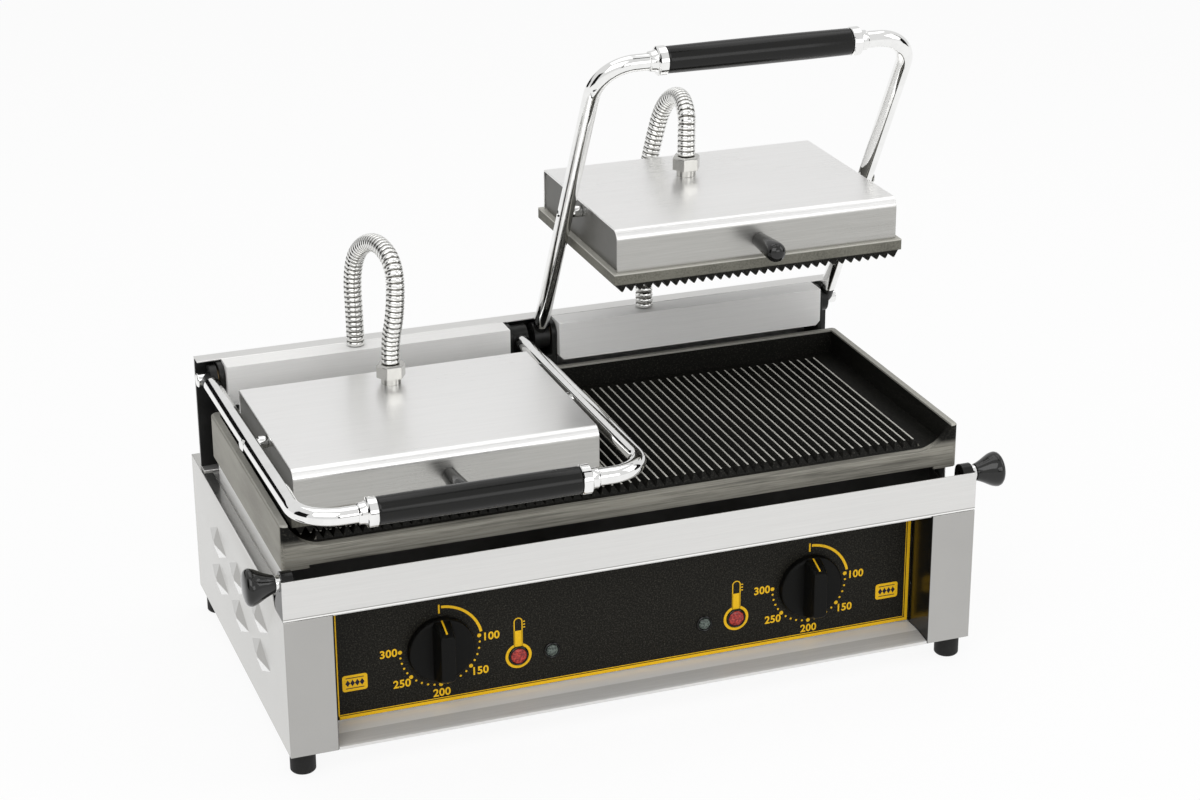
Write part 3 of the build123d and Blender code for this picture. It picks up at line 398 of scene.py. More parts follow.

# The sides are steel outside. The returns next to the fascia are painted black, standing in for shade
# and for the dark fascia reflected in their steel.
steel_side = satin_steel("satin_steel_side", "Y", (0.58, 0.575, 0.555), 0.22, 0.92)
fascia_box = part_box("control_fascia")
tray_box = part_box("juice_tray")
painted_returns = abs(steel_side.x).ramp(fascia_box[1].x + 0.9 * MM, fascia_box[1].x + 0.6 * MM)
painted_returns = painted_returns * steel_side.y.ramp(fascia_box[0].y + 1 * MM, fascia_box[0].y)
# The front columns are painted darker grey than the sides, as shade on their front faces.
column = steel_side.y.ramp(tray_box[0].y + 1.8 * MM, tray_box[0].y + 1.4 * MM)
column_shade = steel_side.mix(steel_side.clouds, rgb(0.40, 0.395, 0.38), rgb(0.48, 0.475, 0.46))
side_colour = steel_side.mix(column, steel_side.colour, column_shade)

# The pressed vents get a painted reflection on their lower front faces, pale and less metallic, and
# painted shade on the upper ones, chosen by which way each face turns.
turned = steel_side.node("ShaderNodeTexCoord", output="Normal")
tilt_x, tilt_y, tilt_z = (
    steel_side.node("ShaderNodeSeparateXYZ", None, {0: turned}, output=axis) for axis in "XYZ"
)
pressed = abs(tilt_x).ramp(0.90, 0.93) * abs(tilt_x).ramp(0.975, 0.96)
painted_lit_facets = pressed * tilt_z.ramp(-0.15, -0.24) * tilt_y.ramp(-0.05, -0.10)
upper = pressed * tilt_z.ramp(0.15, 0.24)
side_colour = steel_side.mix(upper * 0.7, side_colour, rgb(0.34, 0.335, 0.32))
side_colour = steel_side.mix(painted_lit_facets, side_colour, rgb(0.97, 0.97, 0.96))
# The painted black of the returns, as shade and reflection, goes over all else.
steel_side.feed("Base Color", steel_side.mix(painted_returns, side_colour, NEAR_BLACK))
steel_side.feed("Metallic", 0.92 * (1.0 - painted_returns) * (1.0 - painted_lit_facets * 0.7))

# The front frame is pale on its ledge and lip, and painted darker grey on the slope between them, as
# shade under the tray strip; this painted shade fades towards the lip.
steel_frame = satin_steel("satin_steel_front_frame", "X", (0.90, 0.895, 0.88), 0.46, 0.2)
frame_low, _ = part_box("front_frame")
slope = steel_frame.y.ramp(frame_low.y + 18.6 * MM, frame_low.y + 17.4 * MM)
slope = slope * steel_frame.y.ramp(frame_low.y + 0.6 * MM, frame_low.y + 4 * MM, 0.4, 1.0)
painted_slope_shade = steel_frame.mix(steel_frame.brushing, rgb(0.56, 0.55, 0.53), rgb(0.66, 0.65, 0.63))
steel_frame.feed("Base Color", steel_frame.mix(slope, steel_frame.colour, painted_slope_shade))

# The tray is steel in front and darker inside, with a painted highlight along its bottom edge and
# painted shade in the bend just above it.
steel_tray = satin_steel("satin_steel_tray", "X", (0.76, 0.755, 0.74), 0.32, 0.84)
inside = steel_tray.y.ramp(tray_box[0].y + 1.0 * MM, tray_box[0].y + 1.3 * MM)
darker_inside = inside * steel_tray.clouds.ramp(0.2, 0.8, 0.86, 1.0)
# Painted highlight on the bottom edge, and painted shade in the bend above it.
edge_highlight = steel_tray.z.ramp(tray_box[0].z + 1.5 * MM, tray_box[0].z + 1.2 * MM)
bend_shade = steel_tray.z.ramp(tray_box[0].z + 2.4 * MM, tray_box[0].z + 2.0 * MM) * (1.0 - edge_highlight)
strip_colour = steel_tray.mix(bend_shade, steel_tray.colour, rgb(0.36, 0.355, 0.34))
strip_colour = steel_tray.mix(edge_highlight, strip_colour, rgb(0.97, 0.965, 0.95))
steel_tray.feed("Base Color", steel_tray.mix(darker_inside, strip_colour, rgb(0.016, 0.015, 0.012)))
steel_tray.feed("Metallic", darker_inside.ramp(0.0, 1.0, 0.84, 0.1))

rubber = grained(
    "moulded_rubber",
    (rgb(0.007, 0.007, 0.007), rgb(0.025, 0.024, 0.022)),
    {"scale": 1500, "detail": 3.0},
    (0.4, 0.8),
    (0.5, 0.2),
    0.00008,
    Specular_IOR_Level=0.25,
)

# Film on the recessed panel: grained, with a few pale specks.
fascia_film = Finish("black_fascia_film", Specular_IOR_Level=0.10)
film_grain = fascia_film.noise(760, detail=3.0, roughness=0.85)
film_specks = fascia_film.noise(1100, detail=1.0, shift=3.0)
fascia_film.feed(
    "Base Color",
    fascia_film.mix(
        film_grain.ramp(0.48, 0.68) * 0.65 + film_specks.ramp(0.62, 0.70) * 0.35,
        rgb(0.0075, 0.007, 0.0055),
        rgb(0.070, 0.066, 0.052),
    ),
)
fascia_film.feed("Roughness", 0.40 + film_grain * 0.22)
fascia_film.bump(film_grain, 0.00006, 0.6)

yellow_ink = grained(
    "golden_yellow_ink",
    (rgb(0.93, 0.56, 0.014), rgb(0.82, 0.46, 0.008)),
    {"scale": 1600, "detail": 2.0},
    (0.3, 0.8),
    (0.42, 0.18),
    Specular_IOR_Level=0.2,
)
dark_ink = baked_paint("dark_blue_ink", (0.010, 0.009, 0.026), 0.45, 1500, 0.2)
red_lens = grained(
    "red_lens",
    (rgb(0.20, 0.008, 0.008), rgb(0.55, 0.045, 0.03)),
    {"scale": 520, "detail": 1.0, "roughness": 0.4},
    (0.35, 0.7),
    (0.12, 0.2),
    0.0002,
    IOR=1.49,
)
dark_lens = grained(
    "dark_green_lens",
    (rgb(0.030, 0.042, 0.036), rgb(0.12, 0.15, 0.13)),
    {"scale": 600, "detail": 1.0},
    (0.3, 0.7),
    (0.18, 0.2),
    IOR=1.49,
)

rod_sheath = satin_steel("heat_tinted_rod", "Z", (0.26, 0.22, 0.19), 0.4, 0.9)
board = baked_paint("mineral_board", (0.62, 0.60, 0.54), 0.85, 400)
bronze = polished_chrome("sintered_bronze", (0.55, 0.38, 0.17), 0.35)
ceramic = baked_paint("moulded_ceramic", (0.66, 0.62, 0.52), 0.5, 500)

# ---------------------------------------------------------------- making pieces


def link(name, mesh, finish):
    """A new object at the origin with one finish."""
    mesh.materials.clear()
    mesh.materials.append(finish.material)
    return stand(name, mesh)


def settled(piece):
    """Replaces a piece's mesh by what its modifiers make of it, and removes them."""
    mesh = plain_mesh(piece)
    old = piece.data
    piece.modifiers.clear()
    piece.data = mesh
    mesh.name = piece.name
    bpy.data.meshes.remove(old)
    return piece


def rounded(piece, width, segments=2, angle=SHARP):
    """Small rounds along the sharp edges, with the flats kept flat."""
    bevel = piece.modifiers.new("rounds", "BEVEL")
    bevel.width = width
    bevel.segments = segments
    bevel.limit_method = "ANGLE"
    bevel.angle_limit = math.radians(angle)
    bevel.miter_outer = "MITER_ARC"
    return settled(piece)


def mesh_from(form, name, smooth=SHARP):
    """Turns a bmesh into a mesh with smooth shading below an angle."""
    mesh = bpy.data.meshes.new(name)
    form.to_mesh(mesh)
    form.free()
    mesh.shade_smooth()
    mesh.set_sharp_from_angle(angle=math.radians(smooth))
    return mesh


def merged(node):
    """A CAD node's shape as one joined bmesh with its flats in one face each."""
    source = frame["nodes"][node].data
    form = bmesh.new()
    corners = [form.verts.new(v.co) for v in source.vertices]
    for face in source.polygons:
        try:
            form.faces.new([corners[i] for i in face.vertices])
        except ValueError:
            continue
    bmesh.ops.remove_doubles(form, verts=form.verts, dist=WELD)
    bmesh.ops.dissolve_limit(
        form,
        angle_limit=math.radians(FLAT),
        verts=form.verts,
        edges=form.edges,
        use_dissolve_boundaries=False,
    )
    return form


def dressed(node, finish, width=0.35 * MM, segments=2, smooth=SHARP):
    """A node's own shape with rounded edges and a finish, in the node's place."""
    piece = link(f"{node}_skin", mesh_from(merged(node), node, smooth), finish)
    if width:
        rounded(piece, width, segments, smooth)
    return worn_by(piece, node)


def worn_by(piece, *nodes):
    """A piece rides on the body of the nodes that it stands for, and those nodes are hidden."""
    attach(piece, frame["nodes"][nodes[0]]["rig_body"])
    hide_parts(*nodes)
    return piece


def carried(piece, body):
    """A further piece on a body."""
    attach(piece, body)
    return piece


def bridged(form, first, second):
    """Faces between two rings of as many points."""
    for step in range(len(first)):
        after = (step + 1) % len(first)
        form.faces.new((first[step], first[after], second[after], second[step]))


def lathe(form, profile, centre, axis, steps=48):
    """Adds a turned shape to a bmesh from a profile of (along, radius) points in mm."""
    axis = Vector(axis).normalized()
    side = axis.orthogonal().normalized()
    other = axis.cross(side)
    rings = []
    for along, radius in profile:
        middle = Vector(centre) + axis * (along * MM)
        if radius <= 1e-6:
            rings.append([form.verts.new(middle)])
            continue
        ring = []
        for step in range(steps):
            turn = 2 * math.pi * step / steps
            ring.append(
                form.verts.new(middle + (side * math.cos(turn) + other * math.sin(turn)) * (radius * MM))
            )
        rings.append(ring)
    for first, second in zip(rings, rings[1:]):
        if len(first) == len(second):
            bridged(form, first, second)
            continue
        for step in range(steps):
            after = (step + 1) % steps
            if len(first) == 1:
                form.faces.new((first[0], second[after], second[step]))
            else:
                form.faces.new((first[step], first[after], second[0]))
    bmesh.ops.recalc_face_normals(form, faces=form.faces)
    return form


def arc_profile(start, end, bulge, steps=6):
    """Points of a quarter-round from start to end, bulging along (1) or across (0) first."""
    points = []
    for step in range(steps + 1):
        turn = math.pi / 2 * step / steps
        a, b = math.sin(turn), 1 - math.cos(turn)
        if not bulge:
            a, b = b, a
        points.append((start[0] + (end[0] - start[0]) * a, start[1] + (end[1] - start[1]) * b))
    return points


# ---------------------------------------------------------------- repeated parts


class Growth(Nodes):
    """A geometry tree with named inputs."""

    def __init__(self, name, sockets):
        super().__init__(bpy.data.node_groups.new(name, "GeometryNodeTree"))
        add = self.tree.interface.new_socket
        add("Geometry", in_out="INPUT", socket_type="NodeSocketGeometry")
        add("Geometry", in_out="OUTPUT", socket_type="NodeSocketGeometry")
        for label, kind in sockets:
            add(label, in_out="INPUT", socket_type=kind)
        self.entry = self.tree.nodes.new("NodeGroupInput")

    def given(self, label):
        """One of the tree's named inputs."""
        return Wire(self, self.entry.outputs[label])

    def ends(self, shape):
        """Closes the tree: real faces, in the material that is given as Finish."""
        real = self.node("GeometryNodeRealizeInstances", None, {"Geometry": shape})
        painted = self.node(
            "GeometryNodeSetMaterial", None, {"Geometry": real, "Material": self.given("Finish")}
        )
        self.node("NodeGroupOutput", None, {"Geometry": painted})

    def grow(self, piece, values):
        """Runs the tree on a piece with values for its inputs, and keeps the plain mesh."""
        modifier = piece.modifiers.new(self.tree.name, "NODES")
        modifier.node_group = self.tree
        for item in self.tree.interface.items_tree:
            if item.item_type == "SOCKET" and item.in_out == "INPUT" and item.name in values:
                modifier[item.identifier] = values[item.name]
        mesh = plain_mesh(piece)
        name = piece.name
        bpy.data.objects.remove(piece)
        mesh.name = name
        return stand(name, mesh)


# Copies of one part on a set of points, each turned to its point's facing.
spread_tree = Growth(
    "spread",
    (("Part", "NodeSocketObject"), ("Size", "NodeSocketFloat"), ("Finish", "NodeSocketMaterial")),
)
facing_way = spread_tree.node(
    "GeometryNodeInputNamedAttribute", {"data_type": "FLOAT_VECTOR"}, {"Name": "facing"}, "Attribute"
)
turned_way = spread_tree.node(
    "FunctionNodeAlignRotationToVector", {"axis": "Z"}, {"Vector": facing_way}, "Rotation"
)
part_shape = spread_tree.node(
    "GeometryNodeObjectInfo", None, {"Object": spread_tree.given("Part")}, "Geometry"
)
copies = spread_tree.node(
    "GeometryNodeInstanceOnPoints",
    None,
    {
        "Points": spread_tree.given("Geometry"),
        "Instance": part_shape,
        "Rotation": turned_way,
        "Scale": spread_tree.given("Size"),
    },
    "Instances",
)
spread_tree.ends(copies)


def spread(name, part, places, finish, size=1.0):
    """Copies of a part at (position, facing) places, made one plain mesh."""
    mesh = bpy.data.meshes.new(name)
    mesh.from_pydata([tuple(spot) for spot, _ in places], [], [])
    facing = mesh.attributes.new("facing", "FLOAT_VECTOR", "POINT")
    for item, (_, way) in zip(facing.data, places):
        item.vector = way
    values = {"Part": part, "Size": size, "Finish": finish.material}
    made = spread_tree.grow(stand(name, mesh), values)
    made.data.shade_smooth()
    made.data.set_sharp_from_angle(angle=math.radians(SHARP))
    return made


# A ribbed sleeve along a curve: rings of changing size, kept from the first to the last named.
sleeve_tree = Growth(
    "ribbed_sleeve",
    (
        ("Rings", "NodeSocketInt"),
        ("Rings per rib", "NodeSocketInt"),
        ("Valley", "NodeSocketFloat"),
        ("Crest", "NodeSocketFloat"),
        ("First", "NodeSocketInt"),
        ("Last", "NodeSocketInt"),
        ("Finish", "NodeSocketMaterial"),
    ),
)
even = sleeve_tree.node(
    "GeometryNodeResampleCurve",
    None,
    {"Curve": sleeve_tree.given("Geometry"), "Count": sleeve_tree.given("Rings")},
)
ring_index = sleeve_tree.node("GeometryNodeInputIndex")
ridges = abs((ring_index / sleeve_tree.given("Rings per rib") * math.pi).sine()) ** 0.35
# The ridge value stays on the mesh; conduit_steel paints shade into the grooves from it.
marked = sleeve_tree.node(
    "GeometryNodeStoreNamedAttribute",
    {"data_type": "FLOAT", "domain": "POINT"},
    {"Geometry": even, "Name": "ridge", "Value": ridges},
)
ring_size = sleeve_tree.node(
    "ShaderNodeMapRange",
    None,
    {"Value": ridges, "To Min": sleeve_tree.given("Valley"), "To Max": sleeve_tree.given("Crest")},
)
sized = sleeve_tree.node("GeometryNodeSetCurveRadius", None, {"Curve": marked, "Radius": ring_size})
before, beyond = (
    sleeve_tree.node(
        "FunctionNodeCompare",
        {"data_type": "INT", "operation": operation},
        {2: ring_index, 3: sleeve_tree.given(limit)},
    )
    for operation, limit in (("LESS_THAN", "First"), ("GREATER_THAN", "Last"))
)
either = sleeve_tree.node("FunctionNodeBooleanMath", {"operation": "OR"}, {0: before, 1: beyond})
kept = sleeve_tree.node(
    "GeometryNodeDeleteGeometry", {"domain": "POINT"}, {"Geometry": sized, "Selection": either}
)
ring_shape = sleeve_tree.node(
    "GeometryNodeCurvePrimitiveCircle", None, {"Resolution": 28, "Radius": 1.0}
)
sleeve = sleeve_tree.node(
    "GeometryNodeCurveToMesh",
    None,
    {
        "Curve": kept,
        "Profile Curve": ring_shape,
        "Scale": sleeve_tree.node("GeometryNodeInputRadius"),
    },
)
sleeve_tree.ends(sleeve)


def route_curve(name, points):
    """The line of a conduit: a NURBS spline with the route's points as control points."""
    curve = bpy.data.curves.new(name, "CURVE")
    curve.dimensions = "3D"
    spline = curve.splines.new("NURBS")
    spline.points.add(len(points) - 1)
    for item, spot in zip(spline.points, points):
        item.co = (*spot, 1.0)
    spline.order_u = 3
    spline.use_endpoint_u = True
    curve.resolution_u = 24
    return stand(name, curve)


def line_points(points):
    """The points that a route's spline passes through, as Blender gives them."""
    probe = route_curve("route", points)
    mesh = plain_mesh(probe)
    found = [v.co.copy() for v in mesh.vertices]
    bpy.data.objects.remove(probe)
    bpy.data.meshes.remove(mesh)
    return found


# ---------------------------------------------------------------- casing and plate

for node in ("left_side_casing", "right_side_casing"):
    dressed(node, steel_side, 0.4 * MM, 2, 12)
for node in ("left_rear_cover", "right_rear_cover"):
    dressed(node, steel_cover, 0.4 * MM)
dressed("front_frame", steel_frame, 0.25 * MM)
for node in ("housing_back", "top_deck", "back_panel"):
    dressed(node, steel_across, 0.25 * MM)
dressed("juice_tray", steel_tray, 0.35 * MM, 3)
for node in ("base_pan", "heat_shield"):
    dressed(node, steel_across, 0)
dressed("lower_plate", lower_iron(), 0.25 * MM)
for node in ("centre_bracket", "end_brackets"):
    dressed(node, bracket_paint, 0.4 * MM)
dressed("hinge_bushes", bronze, 0)
dressed("counter_springs", rod_sheath, 0)
dressed("lower_elements", rod_sheath, 0, smooth=60)
dressed("thermostat_bodies", ceramic, 0.4 * MM)
dressed("terminal_block", ceramic, 0.5 * MM)
dressed("cable_inlet", phenolic, 0.4 * MM)
dressed("feet", rubber, 0.5 * MM, 3)
dressed("control_fascia", fascia_film, 0.15 * MM)

# ---------------------------------------------------------------- tray knobs

dressed("tray_ends", phenolic, 0.4 * MM)
dressed("tray_ferrules", chrome, 0.4 * MM)
knob_low, knob_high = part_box("tray_knobs")
ferrule_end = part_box("tray_ferrules")[1].x
knob_middle = Vector((0, (knob_low.y + knob_high.y) / 2, (knob_low.z + knob_high.z) / 2))
knob_radius = (knob_high.z - knob_low.z) / 2 / MM
knob_length = (knob_high.x - ferrule_end) / MM
# A slim neck that swells to the shoulder, and a low domed end with a soft corner.
tray_knob_profile = [(-6.0, 0.0), (-6.0, 2.9), (0.0, 2.9), (0.0, 0.44 * knob_radius)]
tray_knob_profile += [
    (knob_length * along, knob_radius * wide)
    for along, wide in (
        (0.02, 0.48),
        (0.12, 0.53),
        (0.30, 0.66),
        (0.48, 0.82),
        (0.62, 0.935),
        (0.74, 0.99),
        (0.80, 1.0),
        (0.87, 0.965),
        (0.93, 0.86),
        (0.965, 0.70),
        (0.985, 0.48),
        (0.996, 0.24),
        (1.0, 0.0),
    )
]
form = bmesh.new()
for hand in (-1, 1):
    root = knob_middle + Vector((hand * ferrule_end, 0, 0))
    lathe(form, tray_knob_profile, root, (hand, 0, 0), 64)
tray_knobs = link("tray_knobs_turned", mesh_from(form, "tray_knobs"), polished_black)
worn_by(tray_knobs, "tray_knobs")

# ---------------------------------------------------------------- controls

fascia_low, fascia_high = fascia_box
fascia_front = fascia_low.y


def dial(side):
    """A round skirt with a tall finger grip that slopes at both ends, and its pointer line."""
    low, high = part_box(f"{side}_thermostat_knob")
    middle = (low + high) / 2
    back = high.y
    radius = (high.x - low.x) / 2 / MM
    depth = (high.y - low.y) / MM
    straight = 4.6
    full = 7.0
    profile = [(0.0, 0.0), (0.0, radius - 0.6), (0.5, radius), (straight, radius)]
    profile += arc_profile((straight, radius), (full, radius - 3.0), 1)[1:]
    profile.append((full, 0.0))
    form = lathe(bmesh.new(), profile, (middle.x, back, middle.z), (0, -1, 0), 72)
    skirt = link(f"{side}_dial_skirt", mesh_from(form, "dial_skirt"), dial_moulding)
    form = bmesh.new()
    # The grip's section at each depth: half its width, and half its height.
    levels = (
        (5.0, 8.2, radius - 1.0),
        (12.0, 7.4, radius - 2.6),
        (20.0, 6.6, radius - 5.6),
        (depth, 5.9, radius - 8.4),
    )
    corner = 3.0
    rings = []
    for along, half, reach in levels:
        ring = []
        for across, up, facing in ((-1, -1, 225), (1, -1, 315), (1, 1, 45), (-1, 1, 135)):
            for turn in range(-40, 60, 20):
                a = math.radians(facing + turn)
                x = across * (half - corner) + corner * math.cos(a)
                z = up * (reach - corner) + corner * math.sin(a)
                ring.append(form.verts.new((middle.x + x * MM, back - along * MM, middle.z + z * MM)))
        rings.append(ring)
    for first, second in zip(rings, rings[1:]):
        bridged(form, first, second)
    form.faces.new(rings[0])
    form.faces.new(rings[-1])
    bmesh.ops.recalc_face_normals(form, faces=form.faces)
    grip = link(f"{side}_dial_grip", mesh_from(form, "dial_grip", 50), dial_moulding)
    rounded(grip, 0.9 * MM, 3, 50)
    form = bmesh.new()
    # The pointer line runs over the grip's upper slope, just above its face.
    line = [(6.4, radius - 0.55)] + [(along, reach + 0.12) for along, _, reach in levels[1:]]
    line[-1] = (depth - 0.8, levels[-1][2] + 0.16)
    rows = [
        [
            form.verts.new((middle.x + offset * MM, back - along * MM, middle.z + reach * MM))
            for offset in (-0.75, 0.75)
        ]
        for along, reach in line
    ]
    for first, second in zip(rows, rows[1:]):
        form.faces.new((first[0], first[1], second[1], second[0]))
    bmesh.ops.recalc_face_normals(form, faces=form.faces)
    pointer = link(f"{side}_dial_pointer", mesh_from(form, "dial_pointer"), yellow_ink)
    for piece in (skirt, grip, pointer):
        carried(piece, f"{side}_dial")
    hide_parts(f"{side}_thermostat_knob")
    dressed(f"{side}_spindle", chrome, 0)


for side in ("left", "right"):
    dial(side)

# Print on the fascia, drawn flat from (x, z) outlines in mm and laid just before the film.
DIALS = {}
for side in ("left", "right"):
    low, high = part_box(f"{side}_thermostat_knob")
    DIALS[side] = ((low.x + high.x) / 2 / MM, (low.z + high.z) / 2 / MM)
red_low, red_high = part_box("red_lamps")
lamp_z = (red_low.z + red_high.z) / 2 / MM
lamp_x = red_high.x / MM - 8.5  # the lamp's radius inwards from its edge


class Print:
    """Flat outlines gathered into one printed mesh."""

    def __init__(self):
        self.form = bmesh.new()

    def area(self, outline):
        """A filled outline of (x, z) points, all turned the same way."""
        corners = [self.form.verts.new((x * MM, 0, z * MM)) for x, z in outline]
        self.form.faces.new(corners)

    def bar(self, x0, z0, x1, z1):
        """A straight bar between two corners."""
        self.area([(x0, z0), (x1, z0), (x1, z1), (x0, z1)])

    def band(self, inner, outer):
        """A strip between two open lines with as many points."""
        first = [self.form.verts.new((x * MM, 0, z * MM)) for x, z in inner]
        second = [self.form.verts.new((x * MM, 0, z * MM)) for x, z in outer]
        for i in range(len(first) - 1):
            self.form.faces.new((first[i], first[i + 1], second[i + 1], second[i]))

    def arc(self, centre, radius, width, start, end):
        """A band round a centre, from start to end in degrees, clockwise from the top."""
        steps = max(4, round(abs(end - start) / 4))
        lines = ([], [])
        for i in range(steps + 1):
            turn = math.radians(start + (end - start) * i / steps)
            for line, r in zip(lines, (radius - width / 2, radius + width / 2)):
                line.append((centre[0] + r * math.sin(turn), centre[1] + r * math.cos(turn)))
        self.band(*lines)

    def laid(self, name, finish, lift):
        """The print as a mesh that faces the front, lift mm before the film."""
        for vertex in self.form.verts:
            vertex.co.y = fascia_front - lift * MM
        for face in self.form.faces:
            face.normal_update()
            if face.normal.y > 0:
                face.normal_flip()
        mesh = bpy.data.meshes.new(name)
        self.form.to_mesh(mesh)
        self.form.free()
        carried(link(name, mesh, finish), "base")


def disc(centre, radius, steps):
    """A round outline."""
    turns = [2 * math.pi * step / steps for step in range(steps)]
    return [(centre[0] + radius * math.cos(a), centre[1] + radius * math.sin(a)) for a in turns]


def box_outline(centre, width, height, corner):
    """A rectangle with round corners."""
    points = []
    for turn, sx, sz in ((0, 1, 1), (90, -1, 1), (180, -1, -1), (270, 1, -1)):
        for step in range(5):
            a = math.radians(turn + 22.5 * step)
            points.append(
                (
                    centre[0] + sx * (width / 2 - corner) + corner * math.cos(a),
                    centre[1] + sz * (height / 2 - corner) + corner * math.sin(a),
                )
            )
    return points


# The scale round a dial: its radius, the angles of its marks, and each number's place.
RING = 33.0
MARKS = (82, 130, 180, 228, 272)
NUMBERS = (
    (100, 43.5, 2.5),
    (150, 33.5, -27.5),
    (200, 0.5, -41.5),
    (250, -33.0, -27.5),
    (300, -43.5, 1.5),
)
STEM = 3.4  # half the width of a thermometer's stem
STEM_TOP = 31
SIGNS = ((-236.2, 58.3), (237.7, 58.3))
ink = Print()
dark = Print()


def dot(centre, turn, radius, steps):
    """A printed dot on a dial's scale, at an angle from the top."""
    a = math.radians(turn)
    reach = RING + 0.8
    ink.area(disc((centre[0] + reach * math.sin(a), centre[1] + reach * math.cos(a)), radius, steps))


for cx, cz in DIALS.values():
    ink.bar(cx - 0.7, cz + 30.6, cx + 0.7, cz + 38.4)
    ink.arc((cx, cz), RING + 3.2, 2.3, 3, 77)
    for turn in MARKS:
        dot((cx, cz), turn, 1.75, 20)
    for first, second in zip(MARKS, MARKS[1:]):
        for part in range(1, 5):
            dot((cx, cz), first + (second - first) * part / 5, 0.95, 12)

# The border: thin on the left, and thick below and on the right with a thin line inside it.
edge_left = fascia_low.x / MM + 9.2
edge_right = fascia_high.x / MM - 1.6
edge_low = fascia_low.z / MM + 0.3
edge_top = fascia_high.z / MM - 0.3
ink.bar(edge_left, edge_low, edge_left + 1.0, edge_top)
ink.bar(edge_left, edge_low, edge_right, edge_low + 2.9)
ink.bar(edge_left + 1.0, edge_low + 3.7, edge_right - 3.6, edge_low + 4.4)
ink.bar(edge_right - 2.8, edge_low + 2.9, edge_right, edge_top)
ink.bar(edge_right - 4.3, edge_low + 3.7, edge_right - 3.6, edge_top)

# A thermometer at each red lamp: a ring round it, a partly filled stem, and three ticks.
for x, z in ((-lamp_x, lamp_z), (lamp_x, lamp_z)):
    ink.arc((x, z), 10.1, 2.4, 22, 338)
    for reach in (-STEM, STEM):
        ink.bar(x + reach - 0.45, z + 8.5, x + reach + 0.45, z + STEM_TOP)
    ink.bar(x - STEM, z + 8.4, x + STEM, z + 23)
    ink.arc((x, z + STEM_TOP), STEM, 0.9, -90, 90)
    for tick in range(3):
        level = z + 25 + 2.6 * tick
        ink.bar(x + 4.3, level, x + 6.0, level + 1.0)

# A plate sign at each outer end of the panel: four dark diamonds between two lines, on yellow.
for x, z in SIGNS:
    ink.area(box_outline((x, z), 21, 14.5, 2.2))
    for tip in (x - 6.0, x - 2.0, x + 2.0, x + 6.0):
        dark.area([(tip - 2.0, z), (tip, z - 3.0), (tip + 2.0, z), (tip, z + 3.0)])
    for row in (z - 4.6, z + 4.6):
        dark.bar(x - 7.6, row - 0.35, x + 7.6, row + 0.35)
ink.laid("fascia_print", yellow_ink, 0.10)
dark.laid("fascia_print_dark", dark_ink, 0.18)


def number(text, centre, size):
    """A printed number with its middle at an (x, z) point in mm."""
    letters = bpy.data.curves.new(f"number_{text}", "FONT")
    letters.body = text
    letters.size = size * MM
    letters.align_x = "CENTER"
    letters.align_y = "CENTER"
    letters.offset = 0.25 * MM
    letters.space_character = 1.05
    holder = stand(f"number_{text}", letters)
    mesh = plain_mesh(holder)
    bpy.data.objects.remove(holder)
    mesh.transform(
        Matrix.Translation((centre[0] * MM, fascia_front - 0.14 * MM, centre[1] * MM))
        @ Matrix.Rotation(math.pi / 2, 4, "X")
    )
    return mesh


for side, (cx, cz) in DIALS.items():
    for value, dx, dz in NUMBERS:
        mesh = number(str(value), (cx + dx, cz + dz), 9.6)
        carried(link(f"{side}_number_{value}", mesh, yellow_ink), "base")

# Lamps: a black bezel and a domed lens each. The small ones' lens is cut in eight facets.
for node, wider, facets, finish in (
    ("red_lamps", 0.0, 36, red_lens),
    ("small_lamps", 1.5, 8, dark_lens),
):
    low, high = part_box(node)
    inset = (high.z - low.z) / 2
    radius = inset / MM + wider
    bezel_profile = [
        (-6, radius - 2),
        (-6, radius - 1.2),
        (0, radius - 1.2),
        (0, radius),
        (1.2, radius),
        (1.9, radius - 0.7),
        (1.5, radius - 1.5),
        (0.4, radius - 1.8),
    ]
    dome = radius - 1.7
    lens_profile = [(-6, 0.0), (-6, radius - 2.2), (1.0, dome)]
    lens_profile += [(1.0 + 1.9 * math.sin(a), dome * math.cos(a)) for a in (0.3, 0.6, 0.9, 1.2)]
    lens_profile.append((2.9, 0.0))
    lens = bmesh.new()
    bezel = bmesh.new()
    for hand in (-1, 1):
        spot = (hand * (high.x - inset), fascia_front, (low.z + high.z) / 2)
        lathe(bezel, bezel_profile, spot, (0, -1, 0), 40)
        lathe(lens, lens_profile, spot, (0, -1, 0), facets)
    worn_by(link(f"{node}_lenses", mesh_from(lens, node), finish), node)
    carried(link(f"{node}_bezels", mesh_from(bezel, node), phenolic), "base")

# ---------------------------------------------------------------- handles and lids

TUBE = 7.1  # the radius inside the grips and collars, where the tube runs
RIVET_SHARE = 0.55  # how much of its radius a flush pin's end keeps

